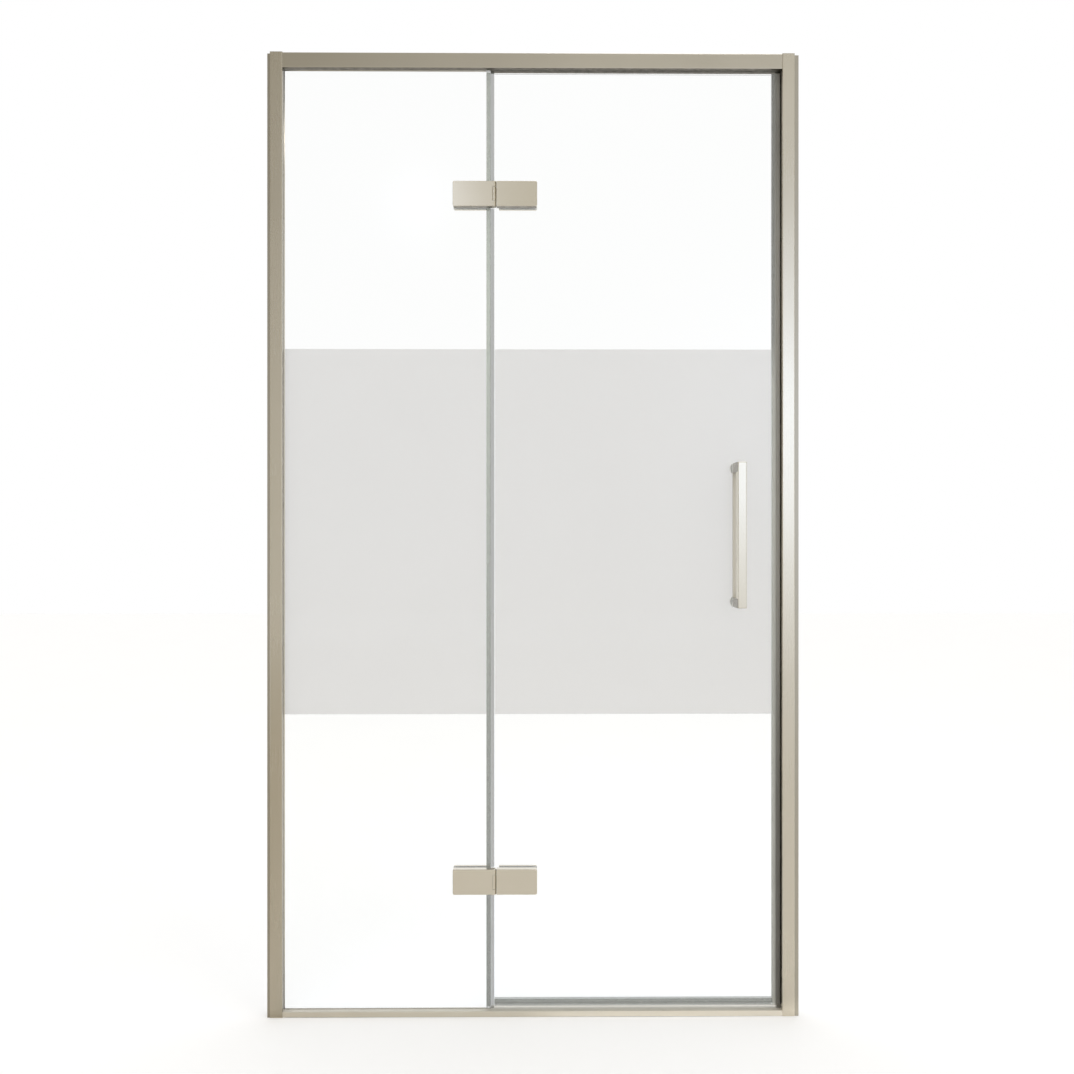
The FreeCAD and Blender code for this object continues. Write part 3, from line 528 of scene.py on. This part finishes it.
# Painted light and shade by height: the grip's tone climbs to a painted highlight near 1.4 m.
BULB_VINYL = UprightSealFinish(
    "bulb_seal_vinyl", "seal_vinyl", VINYL, 0.34, alpha=0.36, streaks=0.12, dust=0.1, split_soft=0.5 * MM,
    light_stops=((0.15, 0.90), (0.48, 1.10), (0.79, 1.50), (1.36, 2.00), (1.70, 1.45)),
    core_colour=(0.10, 0.12, 0.10),
)
# Painted light and shade by height: grip and core brightest near 1 m, darker near the top, the core also near
# the floor.
MAGNET_VINYL = UprightSealFinish(
    "magnet_seal_vinyl", "seal_vinyl", (0.55, 0.56, 0.53), 0.34, alpha=0.52, streaks=0.12,
    light_stops=((0.05, 1.25), (0.60, 1.30), (0.95, 1.47), (1.20, 1.35), (1.30, 0.72), (1.75, 0.50)),
    core_colour=(0.76, 0.745, 0.70),
    core_light_stops=((0.05, 0.40), (0.45, 0.52), (0.85, 0.98), (1.20, 0.95), (1.50, 0.84), (1.68, 0.56)),
)
PALE_VINYL = Finish("pale_vinyl", "seal_vinyl", (0.72, 0.70, 0.64), 0.3, alpha=0.5, streaks=0.05)
PALE_RUBBER = Finish("pale_rubber", "gasket_rubber", (0.56, 0.55, 0.52), 0.5, streaks=0.12, dust=0.2)
SILICONE = Finish("silicone_bed", "gasket_rubber", (0.84, 0.84, 0.82), 0.4, streaks=0.05)
NYLON = Finish("moulded_nylon", "nylon", (0.62, 0.60, 0.55), 0.45, streaks=0.08)
FERRITE = Finish("ferrite_strip", "magnet", (0.115, 0.11, 0.098), 0.6, streaks=0.3)


def rounded_outline(corners: Array, radii: Array, steps: int = 5) -> Outline:
    """Round every corner of a closed outline by an arc.

    The arc's centre lies on the corner's bisector at radius / sin(half angle), and its points turn evenly
    from the first tangent point to the second.

    Args:
        corners: corner points in order, one row each.
        radii: radius at each corner.
        steps: points on each arc.

    Returns:
        The points of the outline, and for each stretch that follows a point whether it belongs to an arc.
    """
    before = np.roll(corners, 1, axis=0) - corners
    after = np.roll(corners, -1, axis=0) - corners
    before = before / np.linalg.norm(before, axis=1, keepdims=True)
    after = after / np.linalg.norm(after, axis=1, keepdims=True)
    half = 0.5 * np.arccos(np.clip(np.sum(before * after, axis=1), -1.0, 1.0))
    bisector = before + after
    bisector = bisector / np.linalg.norm(bisector, axis=1, keepdims=True)
    centre = corners + bisector * (radii / np.sin(half))[:, None]
    reach = (radii / np.tan(half))[:, None]
    first = corners + before * reach - centre
    second = corners + after * reach - centre
    start = np.arctan2(first[:, 1], first[:, 0])
    turn = np.arctan2(second[:, 1], second[:, 0]) - start
    turn = (turn + np.pi) % (2.0 * np.pi) - np.pi
    angle = start[:, None] + turn[:, None] * np.linspace(0.0, 1.0, steps)[None, :]
    arcs = centre[:, None, :] + radii[:, None, None] * np.stack((np.cos(angle), np.sin(angle)), axis=2)
    smooth = np.tile(np.arange(steps) < steps - 1, len(corners))
    return arcs.reshape(-1, 2), smooth


def mesh_object(name: str, points: Array, faces: Sequence[Sequence[int]], smooth: Array) -> MeshObject:
    """Make a mesh object from arrays.

    Args:
        name: name of the piece.
        points: vertex places, one row each.
        faces: vertex numbers of each face.
        smooth: whether each face is shaded smooth.

    Returns:
        The object, at the origin.
    """
    mesh = bpy.data.meshes.new(name)
    mesh.from_pydata(points.tolist(), [], faces)
    mesh.polygons.foreach_set("use_smooth", smooth.astype(bool))
    mesh.update()
    made = bpy.data.objects.new(name, mesh)
    bpy.context.scene.collection.objects.link(made)
    return made


def grid_faces(rows: int, columns: int) -> Array:
    """Quads of a grid of points stored row by row, where the last point of a row joins the first.

    Args:
        rows: number of rows.
        columns: number of points in a row.

    Returns:
        One row of four vertex numbers for each quad.
    """
    row, column = np.meshgrid(np.arange(rows - 1), np.arange(columns), indexing="ij")
    following = (column + 1) % columns
    here = row * columns
    above = here + columns
    quads = (here + column, here + following, above + following, above + column)
    return np.stack(quads, axis=-1).reshape(-1, 4)


def swept_length(name: str, outline: Outline, run: Run, span: Range) -> MeshObject:
    """Carry a closed outline straight from one end of a span to the other, with flat ends.

    Point (i, j) is outline point j at station i of the run.

    Args:
        name: name of the piece.
        outline: points and arc flags from rounded_outline.
        run: direction of the length.
        span: start and end along the run.

    Returns:
        The swept piece.
    """
    points, arcs = outline
    area = np.sum(points[:, 0] * np.roll(points[:, 1], -1) - np.roll(points[:, 0], -1) * points[:, 1])
    count = len(points)
    grid = np.zeros((STATIONS, count, 3))
    grid[..., run.value[0]] = points[None, :, 0]
    grid[..., run.value[1]] = points[None, :, 1]
    grid[..., run.value[2]] = np.linspace(span[0], span[1], STATIONS)[:, None]
    sides = grid_faces(STATIONS, count)
    low = np.arange(count)
    ends = np.stack((low[::-1], low + count * (STATIONS - 1)))
    if area <= 0.0:
        sides = sides[:, ::-1]
        ends = ends[:, ::-1]
    smooth = np.concatenate((np.tile(arcs, STATIONS - 1), [False, False]))
    return mesh_object(name, grid.reshape(-1, 3), sides.tolist() + ends.tolist(), smooth)


def node_box(node: str) -> tuple[Array, Array]:
    """Lowest and highest corner of a CAD node as arrays."""
    low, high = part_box(node)
    return np.array(low), np.array(high)


class Dresser:
    """Puts finishes on CAD nodes and new pieces, and hangs new pieces on their bodies."""

    def __init__(self) -> None:
        """Make the shared effects and an empty store of materials."""
        self.effects = SurfaceEffects()
        self.made: dict[Finish, Material] = {}

    def material(self, finish: Finish) -> Material:
        """Material of a finish, made on first use."""
        if finish not in self.made:
            self.made[finish] = finish.material(self.effects)
        return self.made[finish]

    def dress(self, finish: Finish, *nodes: str) -> None:
        """Give CAD nodes a finish.

        Args:
            finish: finish to put on.
            nodes: names of the CAD nodes.
        """
        material = self.material(finish)
        for node in nodes:
            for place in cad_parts[node].material_slots:
                place.material = material
            LOG.info("dressed %s in %s", node, finish.name)

    def place(self, piece: MeshObject, finish: Finish, body: Body, replaced: Sequence[str] = ()) -> None:
        """Finish a new piece and hang it on a body.

        Args:
            piece: new piece, at the origin.
            finish: finish to put on.
            body: body that carries it.
            replaced: CAD nodes that it stands for.
        """
        piece.data.materials.append(self.material(finish))
        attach(piece, body.value)
        if replaced:
            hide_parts(*replaced)
        LOG.info("built %s in %s on %s", piece.name, finish.name, body.value)


@dataclass
class WallFrame:
    """Wall channels, jambs, rails and what closes them."""

    bead_radius: float = 1.5 * MM
    bead_gap: float = 0.05 * MM
    bead_rounding: tuple[float, ...] = (0.02, 0.15, 0.82, 0.15)
    screw_rows: int = 3
    head_radius: float = 3.4 * MM
    head_points: int = 48
    head_rings: int = 14
    crown_fall: float = 0.45
    recess_half: float = 0.13
    recess_reach: float = 0.62
    recess_depth: float = 0.6
    recess_fall: float = 0.6

    def build(self, dresser: Dresser) -> None:
        """Dress the frame and add glazing beads and screw heads.

        Args:
            dresser: puts on finishes and hangs pieces.
        """
        dresser.dress(CHANNEL_NICKEL, "wall_channel_left", "wall_channel_right")
        dresser.dress(LEFT_NICKEL, "jamb_left")
        dresser.dress(STRIKE_NICKEL, "strike_jamb")
        dresser.dress(HEADER_NICKEL, "header_rail", "header_infill", "jamb_caps")
        dresser.dress(SILL_NICKEL, "sill_rail")
        dresser.dress(INFILL_NICKEL, "sill_infill")
        dresser.dress(STEEL, "corner_screws_top", "corner_screws_bottom")
        dresser.dress(SILICONE, "sill_bedding_strip")
        dresser.dress(PALE_RUBBER, "setting_blocks")
        dresser.dress(PALE_VINYL, "glazing_gasket_left", "glazing_gasket_top", "glazing_gasket_bottom")
        dresser.dress(SEAL_VINYL, "strike_magnet_holder")
        dresser.dress(FERRITE, "strike_magnet")
        self.beads(dresser)
        self.screw_heads(dresser)

    def beads(self, dresser: Dresser) -> None:
        """Quarter-round beads in the corner between the fixed pane and the lips of the frame.

        Args:
            dresser: puts on finishes and hangs pieces.
        """
        front = node_box("fixed_glass")[0][1] - self.bead_gap
        edge = node_box("jamb_left")[1][0]
        head = node_box("header_rail")[0][2]
        foot = node_box("sill_rail")[1][2]
        free = node_box("edge_seal_middle")[0][0]
        size = self.bead_radius
        side = self.quarter(np.array((edge, front)), np.array((size, -size)))
        top = self.quarter(np.array((front, head)), np.array((-size, -size)))
        bottom = self.quarter(np.array((front, foot)), np.array((-size, size)))
        for name, outline, run, span, finish in (
            ("left", side, Run.ALONG_Z, (foot, head), UPRIGHT_NICKEL),
            ("top", top, Run.ALONG_X, (edge, free), HEADER_NICKEL),
            ("bottom", bottom, Run.ALONG_X, (edge, free), PALE_VINYL),
        ):
            dresser.place(swept_length(f"glazing_bead_{name}", outline, run, span), finish, Body.FRAME)

    def quarter(self, corner: Array, legs: Array) -> Outline:
        """Outline of a bead: legs of signed length from a square corner, with the far corner rounded."""
        corners = corner + np.array(((0.0, 0.0), (legs[0], 0.0), (legs[0], legs[1]), (0.0, legs[1])))
        return rounded_outline(corners, self.bead_radius * np.array(self.bead_rounding))

    def screw_heads(self, dresser: Dresser) -> None:
        """Pan heads with a cross recess on the locking screws of both jambs.

        The height over the seat is a flattened dome, which falls with the fourth power of the radius, less
        two crossed grooves whose depth falls off evenly from the middle. The rim drops to the seat.

        Args:
            dresser: puts on finishes and hangs pieces.
        """
        low, high = node_box("channel_fixing_screws")
        seat = node_box("jamb_left")[1][1]
        height = high[1] - seat
        radius = self.head_radius
        xs = np.array((low[0] + radius, high[0] - radius))
        zs = np.linspace(low[2] + radius, high[2] - radius, self.screw_rows)
        angle = np.linspace(0.0, 2.0 * np.pi, self.head_points, endpoint=False)
        ring = np.concatenate((np.linspace(0.0, 1.0, self.head_rings), [1.0]))
        r, a = np.meshgrid(ring, angle, indexing="ij")
        u = r * np.cos(a)
        v = r * np.sin(a)
        arm = np.maximum(self.groove(u, v), self.groove(v, u))
        rise = (1.0 - self.crown_fall * r**4) - self.recess_depth * arm * (1.0 - self.recess_fall * r)
        rise[-1, :] = 0.0
        head = np.stack((u * radius, seat + rise * height, v * radius), axis=-1).reshape(-1, 3)
        cx, cz = (m.reshape(-1) for m in np.meshgrid(xs, zs, indexing="ij"))
        shift = np.stack((cx, np.zeros_like(cx), cz), axis=-1)
        points = (shift[:, None, :] + head[None, :, :]).reshape(-1, 3)
        quads = grid_faces(len(ring), self.head_points)
        faces = (np.arange(len(shift))[:, None, None] * len(head) + quads[None]).reshape(-1, 4)
        piece = mesh_object("locking_screw_heads", points, faces.tolist(), np.ones(len(faces)))
        dresser.place(piece, STEEL, Body.FRAME, ["channel_fixing_screws"])

    def groove(self, across: Array, along: Array) -> Array:
        """Depth of one groove of the cross: 1 along its middle, with steep sides, and 0 past its ends."""
        return np.exp(-((across / self.recess_half) ** 4)) * (np.abs(along) < self.recess_reach)


@dataclass
class GlassPanes:
    """Both panes, their satin bands and the ground edges of the door."""

    edge_thickness: float = 0.12 * MM
    edge_gap: float = 0.04 * MM
    edge_rounding: float = 0.3
    edge_steps: int = 3
    bevel: float = 0.8 * MM

    def build(self, dresser: Dresser) -> None:
        """Dress the panes and add the ground edges.

        Args:
            dresser: puts on finishes and hangs pieces.
        """
        dresser.dress(CLEAR_GLASS, "fixed_glass", "door_glass")
        dresser.dress(SATIN_FILM, "fixed_privacy_film", "door_privacy_film")
        low, high = node_box("door_glass")
        side = low[0] - self.edge_gap
        top = high[2] + self.edge_gap
        low = low + self.bevel
        high = high - self.bevel
        upright = self.strip((side, low[1]), (side - self.edge_thickness, high[1]))
        piece = swept_length("door_edge_hinge_side", upright, Run.ALONG_Z, (low[2], high[2]))
        dresser.place(piece, GROUND_EDGE, Body.DOOR)
        level = self.strip((low[1], top), (high[1], top + self.edge_thickness))
        piece = swept_length("door_edge_top", level, Run.ALONG_X, (low[0], high[0]))
        dresser.place(piece, GROUND_EDGE, Body.DOOR)

    def strip(self, first: Range, second: Range) -> Outline:
        """Thin rectangular outline between two opposite corners, with softened corners."""
        corners = np.array((first, (second[0], first[1]), second, (first[0], second[1])))
        return rounded_outline(corners, np.full(4, self.edge_rounding * self.edge_thickness), self.edge_steps)


@dataclass
class Seals:
    """Edge seal of the fixed pane, magnet seal and sweep of the door."""

    wall: float = 1.1 * MM
    slip: float = 0.05 * MM
    lip_radius: float = 0.35 * MM
    bulb_tip_radius: float = 0.1 * MM
    bulb_radius: float = 2.6 * MM
    bulb_inset: float = 0.2 * MM
    bulb_neck: float = 0.4 * MM
    bulb_steps: int = 7
    nose_radius: float = 1.0 * MM
    nose_fine_radius: float = 0.08 * MM
    groove_depth: float = 0.45 * MM
    groove_half: float = 0.5 * MM
    core_overlap: float = 1.1 * MM
    sweep_tip_radius: float = 0.15 * MM
    fin: float = 1.0 * MM
    drip_length: float = 4.2 * MM
    drip_lean: float = 0.2 * MM
    drip_root: float = 1.6 * MM
    wiper_root: float = 2.4 * MM

    def build(self, dresser: Dresser) -> None:
        """Build the three seals in place of their CAD solids.

        Args:
            dresser: puts on finishes and hangs pieces.
        """
        finish = replace(BULB_VINYL, split_x=float(node_box("fixed_glass")[1][0]))
        for part in ("lower", "middle", "upper"):
            node = f"edge_seal_{part}"
            low, high = node_box(node)
            outline = self.bulb_outline(low, high)
            piece = swept_length(f"bulb_seal_{part}", outline, Run.ALONG_Z, (low[2], high[2]))
            dresser.place(piece, finish, Body.FRAME, [node])
        low, high = node_box("door_magnet_seal")
        edge = node_box("door_glass")[1][0]
        finish = replace(MAGNET_VINYL, split_x=float(edge) - self.core_overlap)
        outline = self.nose_outline(low, high, edge)
        piece = swept_length("magnet_seal", outline, Run.ALONG_Z, (low[2], high[2]))
        dresser.place(piece, finish, Body.DOOR, ["door_magnet_seal"])
        dresser.dress(FERRITE, "door_magnet")
        self.sweep(dresser)

    def bulb_outline(self, low: Array, high: Array) -> Outline:
        """Grip with round lips over the pane's edge and a soft bulb beyond it.

        Args:
            low: lowest corner of the CAD seal.
            high: highest corner of the CAD seal.

        Returns:
            Points and arc flags.
        """
        pane = node_box("fixed_glass")[1]
        edge = pane[0] + self.slip
        half = pane[1] + self.slip
        web = pane[0] + self.wall
        bulb = pane[1] - self.bulb_inset
        neck = web + self.bulb_neck
        front = ((low[0], -half), (low[0], low[1]), (web, low[1]), (neck, -bulb), (high[0], -bulb))
        rear = [(x, -y) for x, y in front[::-1]]
        corners = np.array((*front, *rear, (edge, half), (edge, -half)))
        lip = self.lip_radius
        side = (self.bulb_tip_radius, lip, lip, lip, self.bulb_radius)
        return rounded_outline(corners, np.array((*side, *side[::-1], lip, lip)), self.bulb_steps)

    def nose_outline(self, low: Array, high: Array, edge: float) -> Outline:
        """Grip over the door's edge and a square nose for the magnet, parted by a shallow groove.

        Args:
            low: lowest corner of the CAD seal.
            high: highest corner of the CAD seal.
            edge: place of the glass edge along X.

        Returns:
            Points and arc flags.
        """
        half = node_box("door_glass")[1][1] + self.slip
        mid = edge + self.wall
        dip = low[1] + self.groove_depth
        front = ((low[0], -half), (low[0], low[1]), (mid - self.groove_half, low[1]), (mid, dip),
                 (mid + self.groove_half, low[1]), (high[0], low[1]))
        rear = [(x, -y) for x, y in front[::-1]]
        corners = np.array((*front, *rear, (edge + self.slip, half), (edge + self.slip, -half)))
        lip = self.lip_radius
        fine = self.nose_fine_radius
        side = (fine, lip, fine, fine, fine, self.nose_radius)
        return rounded_outline(corners, np.array((*side, *side[::-1], lip, lip)))

    def sweep(self, dresser: Dresser) -> None:
        """Sweep with a short drip fin in front and a wiping fin behind that leans into the shower.

        Args:
            dresser: puts on finishes and hangs pieces.
        """
        low, high = node_box("door_sweep")
        pane_low, pane_high = node_box("door_glass")
        half = pane_high[1] + self.slip
        base = pane_low[2] - self.slip
        web = pane_low[2] - self.wall
        drip = web - self.drip_length
        corners = np.array((
            (-half, high[2]), (low[1], high[2]), (low[1], web), (-half + self.drip_lean, drip),
            (-half + self.fin, drip), (-half + self.drip_root, web), (half - self.wiper_root, web),
            (half - self.fin, low[2]), (half, low[2]), (high[1], web), (high[1], high[2]), (half, high[2]),
            (half, base), (-half, base),
        ))
        radii = np.full(len(corners), self.lip_radius)
        radii[[0, -3]] = self.sweep_tip_radius
        outline = rounded_outline(corners, radii)
        piece = swept_length("door_sweep_profile", outline, Run.ALONG_X, (low[0], high[0]))
        dresser.place(piece, SEAL_VINYL, Body.DOOR, ["door_sweep"])


@dataclass
class Hinges:
    """Both glass-to-glass hinges."""

    places: tuple[str, ...] = ("lower", "upper")
    sides: tuple[str, ...] = ("fixed", "door")

    def build(self, dresser: Dresser) -> None:
        """Dress the hinges.

        Args:
            dresser: puts on finishes and hangs pieces.
        """
        for place in self.places:
            for side in self.sides:
                dresser.dress(HINGE_NICKEL, f"{place}_hinge_{side}_leaf")
                dresser.dress(BACK_NICKEL, f"{place}_hinge_{side}_back_plate")
                dresser.dress(SILICONE, f"{place}_hinge_{side}_gaskets")
                dresser.dress(STEEL, f"{place}_hinge_{side}_screws")
            dresser.dress(STEEL, f"{place}_hinge_pin")
            dresser.dress(NYLON, f"{place}_hinge_bushes")
        dresser.dress(NYLON, "hinge_fixed_sleeves", "hinge_door_sleeves")


@dataclass
class PullHandle:
    """Pull handle with its fixings on both faces of the door."""

    post_height: float = 18.0 * MM

    def build(self, dresser: Dresser) -> None:
        """Dress the handle.

        Args:
            dresser: puts on finishes and hangs pieces.
        """
        low, high = node_box("handle_bar")
        middle = float(0.5 * (low[2] + high[2]))
        reach = float(0.5 * (high[2] - low[2]) - self.post_height)
        dresser.dress(replace(HANDLE_NICKEL, mid_z=middle, post_reach=reach), "handle_bar")
        dresser.dress(BASE_NICKEL, "handle_base_plate")
        dresser.dress(TURNED_NICKEL, "handle_rosettes")
        dresser.dress(STEEL, "handle_screws")
        dresser.dress(SILICONE, "handle_gaskets")
        dresser.dress(NYLON, "handle_sleeves")


@dataclass(frozen=True)
class Window:
    """Soft bright patch of the room in front, placed by the slopes of a ray to the right and upwards."""

    place: Range
    spread: Range
    colour: Colour
    least_ahead: float = 0.05

    def shine(self, sheet: NodeSheet, way: dict[str, Socket]) -> Socket:
        """Brightness of the patch: a bell over both slopes, 1 in its middle.

        Args:
            sheet: node tree of the world.
            way: parts of the ray's direction.

        Returns:
            Output socket with the brightness.
        """
        ahead = sheet.maths("MAXIMUM", sheet.maths("MULTIPLY", way["Y"], -1.0), self.least_ahead)
        squares = []
        for axis, place, spread in zip("XZ", self.place, self.spread):
            slope = sheet.maths("DIVIDE", way[axis], ahead)
            off = sheet.maths("DIVIDE", sheet.maths("SUBTRACT", slope, place), spread)
            squares.append(sheet.maths("MULTIPLY", off, off))
        return sheet.maths("POWER", math.e, sheet.maths("MULTIPLY", sheet.maths("ADD", *squares), -0.5))


@dataclass(frozen=True)
class Glow:
    """Lit part of the paper on the floor, which grows over a range of X and over one of Y."""

    strength: float
    across: Range
    depth: Range

    def shine(self, sheet: NodeSheet, place: dict[str, Socket]) -> Socket:
        """Strength of the light at a place, which is given by the parts of its Object coordinates."""
        across = sheet.remap(place["X"], self.across, (0.0, self.strength))
        return sheet.maths("MULTIPLY", across, sheet.remap(place["Y"], self.depth))


@dataclass
class Studio:
    """Pale floor, soft light and the camera."""

    camera_place: tuple[float, float, float] = (-0.005, -1.767, 0.9145)
    yaw: float = math.radians(-0.386)
    lens: float = 30.95
    shift_up: float = -2.2 / PHOTO_SIDE
    room_dark: Colour = (0.30, 0.265, 0.195)
    room_light: Colour = (0.86, 0.83, 0.75)
    room_front: Range = (-0.25, 0.35)
    room_right: Range = (-0.30, 0.06)
    room_foot: Range = (0.0, 0.5)
    room_share: float = 0.5
    windows: tuple[Window, ...] = (
        Window((0.28, 0.13), (0.09, 0.095), (1.70, 2.04, 2.70)),
        Window((-0.123, 0.36), (0.026, 0.03), (2.3, 2.5, 3.0)),
        Window((-0.273, 0.143), (0.05, 0.04), (0.36, 0.36, 0.38)),
    )
    floor_half: float = 9.0
    floor_colour: Colour = (0.80, 0.81, 0.835)
    floor_roughness: float = 0.9
    floor_glow: float = 0.42
    mottle_scale: float = 3.0
    mottle_detail: float = 4.0
    mottle_noise: Range = (0.3, 0.7)
    mottle_least: float = 0.985
    paper_half: float = 2.6
    paper_lift: float = 1.0 * MM
    paper_depth: Range = (-6.0, -0.01)
    paper_left: Colour = (0.64, 0.575, 0.46)
    paper_right: Colour = (0.97, 0.945, 0.90)
    paper_change: Range = (-0.95, -0.15)
    paper_roughness: float = 0.95
    right_glow: Glow = Glow(0.10, (0.45, 0.50), (-1.6, -0.3))
    foot_glow: Glow = Glow(0.28, (-0.02, 0.06), (-0.08, -0.04))
    glow_colour: Colour = (1.0, 0.97, 0.92)
    lamp_place: tuple[float, float, float] = (0.55, -0.55, 3.1)
    lamp_target: tuple[float, float, float] = (0.1, 0.0, 0.7)
    lamp_size: Range = (1.0, 0.8)
    lamp_power: float = 8.0
    lamp_colour: Colour = (1.0, 0.98, 0.95)

    def build(self) -> None:
        """Set the world, floor, lamp, camera and view."""
        bpy.context.scene.view_settings.view_transform = "Standard"
        self.world()
        self.floor()
        self.paper()
        self.softbox()
        self.camera()
        LOG.info("studio set")

    def world(self) -> None:
        """White behind the object, and a dimmer, warmer room in front that is brighter on the right."""
        world = bpy.data.worlds.new("studio_world")
        world.use_nodes = True
        bpy.context.scene.world = world
        sheet = NodeSheet(world.node_tree)
        way = sheet.parts(sheet.coordinates("Generated"))
        ahead = sheet.remap(way["Y"], self.room_front, (1.0, 0.0))
        side = sheet.remap(way["X"], self.room_right, (0.0, self.room_share))
        low = sheet.remap(way["Z"], self.room_foot, (self.room_share, 0.0))
        room = sheet.tint("MIX", sheet.maths("ADD", side, low), rgba(self.room_dark), rgba(self.room_light))
        for window in self.windows:
            room = sheet.tint("ADD", window.shine(sheet, way), room, rgba(window.colour))
        around = sheet.tint("MIX", ahead, rgba(WHITE), room)
        path = sheet.add("LightPath")
        seen = sheet.maths("MAXIMUM", path.outputs["Is Camera Ray"], path.outputs["Is Transmission Ray"])
        shown = sheet.tint("MIX", seen, around, rgba(WHITE))
        light = sheet.add("Background", {"Color": shown, "Strength": 1.0})
        sheet.add("OutputWorld", {"Surface": light.outputs[0]})

    @staticmethod
    def flat(name: str, half: float, depth: Range, height: float, material: Material) -> MeshObject:
        """Level rectangle of the studio.

        Args:
            name: name of the object.
            half: half its width along X.
            depth: front and back edge along Y.
            height: its height.
            material: what it is made of.

        Returns:
            The object, staged.
        """
        ends = ((-half, depth[0]), (half, depth[0]), (half, depth[1]), (-half, depth[1]))
        corners = np.array([(x, y, height) for x, y in ends])
        made = mesh_object(name, corners, [[0, 1, 2, 3]], np.zeros(1))
        made.data.materials.append(material)
        return made

    def floor(self) -> None:
        """Pale floor that keeps the shadow; some glow for camera, mirror and glass rays makes it white."""
        made, sheet = new_material("studio_floor")
        mottle = sheet.noise(self.mottle_scale, self.mottle_detail)
        tone = sheet.remap(mottle, self.mottle_noise, (self.mottle_least, 1.0))
        colour = sheet.tint("MULTIPLY", 1.0, rgba(self.floor_colour), sheet.grey(tone))
        look = {"Base Color": colour, "Roughness": self.floor_roughness, "Specular IOR Level": 0.0}
        shader = sheet.add("BsdfPrincipled", look)
        path = sheet.add("LightPath")
        seen = sheet.maths("MAXIMUM", path.outputs["Is Camera Ray"], path.outputs["Is Transmission Ray"])
        seen = sheet.maths("MAXIMUM", seen, path.outputs["Is Glossy Ray"])
        glow = sheet.add("Emission", {"Strength": sheet.maths("MULTIPLY", seen, self.floor_glow)})
        both = sheet.pair("AddShader", shader.outputs[0], glow.outputs[0])
        sheet.add("OutputMaterial", {"Surface": both.outputs[0]})
        self.flat("studio_floor", self.floor_half, (-self.floor_half, self.floor_half), 0.0, made)

    def paper(self) -> None:
        """Sheet of paper on the floor that only the mirror image in metal shows.

        It is warmer on its left, and lit on its right near the object and along the foot of the doorway.
        """
        made, sheet = new_material("front_paper")
        place = sheet.parts(sheet.coordinates())
        across = sheet.remap(place["X"], self.paper_change)
        colour = sheet.tint("MIX", across, rgba(self.paper_left), rgba(self.paper_right))
        shine = sheet.maths("ADD", self.right_glow.shine(sheet, place), self.foot_glow.shine(sheet, place))
        look = {"Base Color": colour, "Roughness": self.paper_roughness, "Emission Strength": shine}
        shader = sheet.add("BsdfPrincipled", look)
        shader.inputs["Emission Color"].default_value = rgba(self.glow_colour)
        sheet.add("OutputMaterial", {"Surface": shader.outputs[0]})
        paper = self.flat("front_paper", self.paper_half, self.paper_depth, self.paper_lift, made)
        paper.visible_camera = False
        paper.visible_diffuse = False
        paper.visible_transmission = False
        paper.visible_shadow = False

    def softbox(self) -> None:
        """Rectangular lamp overhead, turned to a point of the object."""
        lamp = bpy.data.lights.new("overhead_softbox", "AREA")
        lamp.shape = "RECTANGLE"
        lamp.size, lamp.size_y = self.lamp_size
        lamp.energy = self.lamp_power
        lamp.color = self.lamp_colour
        made = bpy.data.objects.new("overhead_softbox", lamp)
        bpy.context.scene.collection.objects.link(made)
        made.location = self.lamp_place
        aim = Vector([end - start for start, end in zip(self.lamp_place, self.lamp_target)])
        made.rotation_euler = aim.to_track_quat("-Z", "Y").to_euler()

    def camera(self) -> None:
        """Level camera at half height, turned a little to the right."""
        data = bpy.data.cameras.new("front_camera")
        data.lens = self.lens
        data.shift_y = self.shift_up
        made = bpy.data.objects.new("front_camera", data)
        made.location = self.camera_place
        made.rotation_euler = (math.pi / 2.0, 0.0, self.yaw)
        bpy.context.scene.collection.objects.link(made)
        bpy.context.scene.camera = made


def main() -> None:
    """Build the shower front in order."""
    logging.basicConfig(level=logging.INFO, format="%(name)s: %(message)s")
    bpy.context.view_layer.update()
    Studio().build()
    dresser = Dresser()
    for assembly in (WallFrame(), GlassPanes(), Seals(), Hinges(), PullHandle()):
        assembly.build(dresser)


if __name__ == "__main__":
    main()
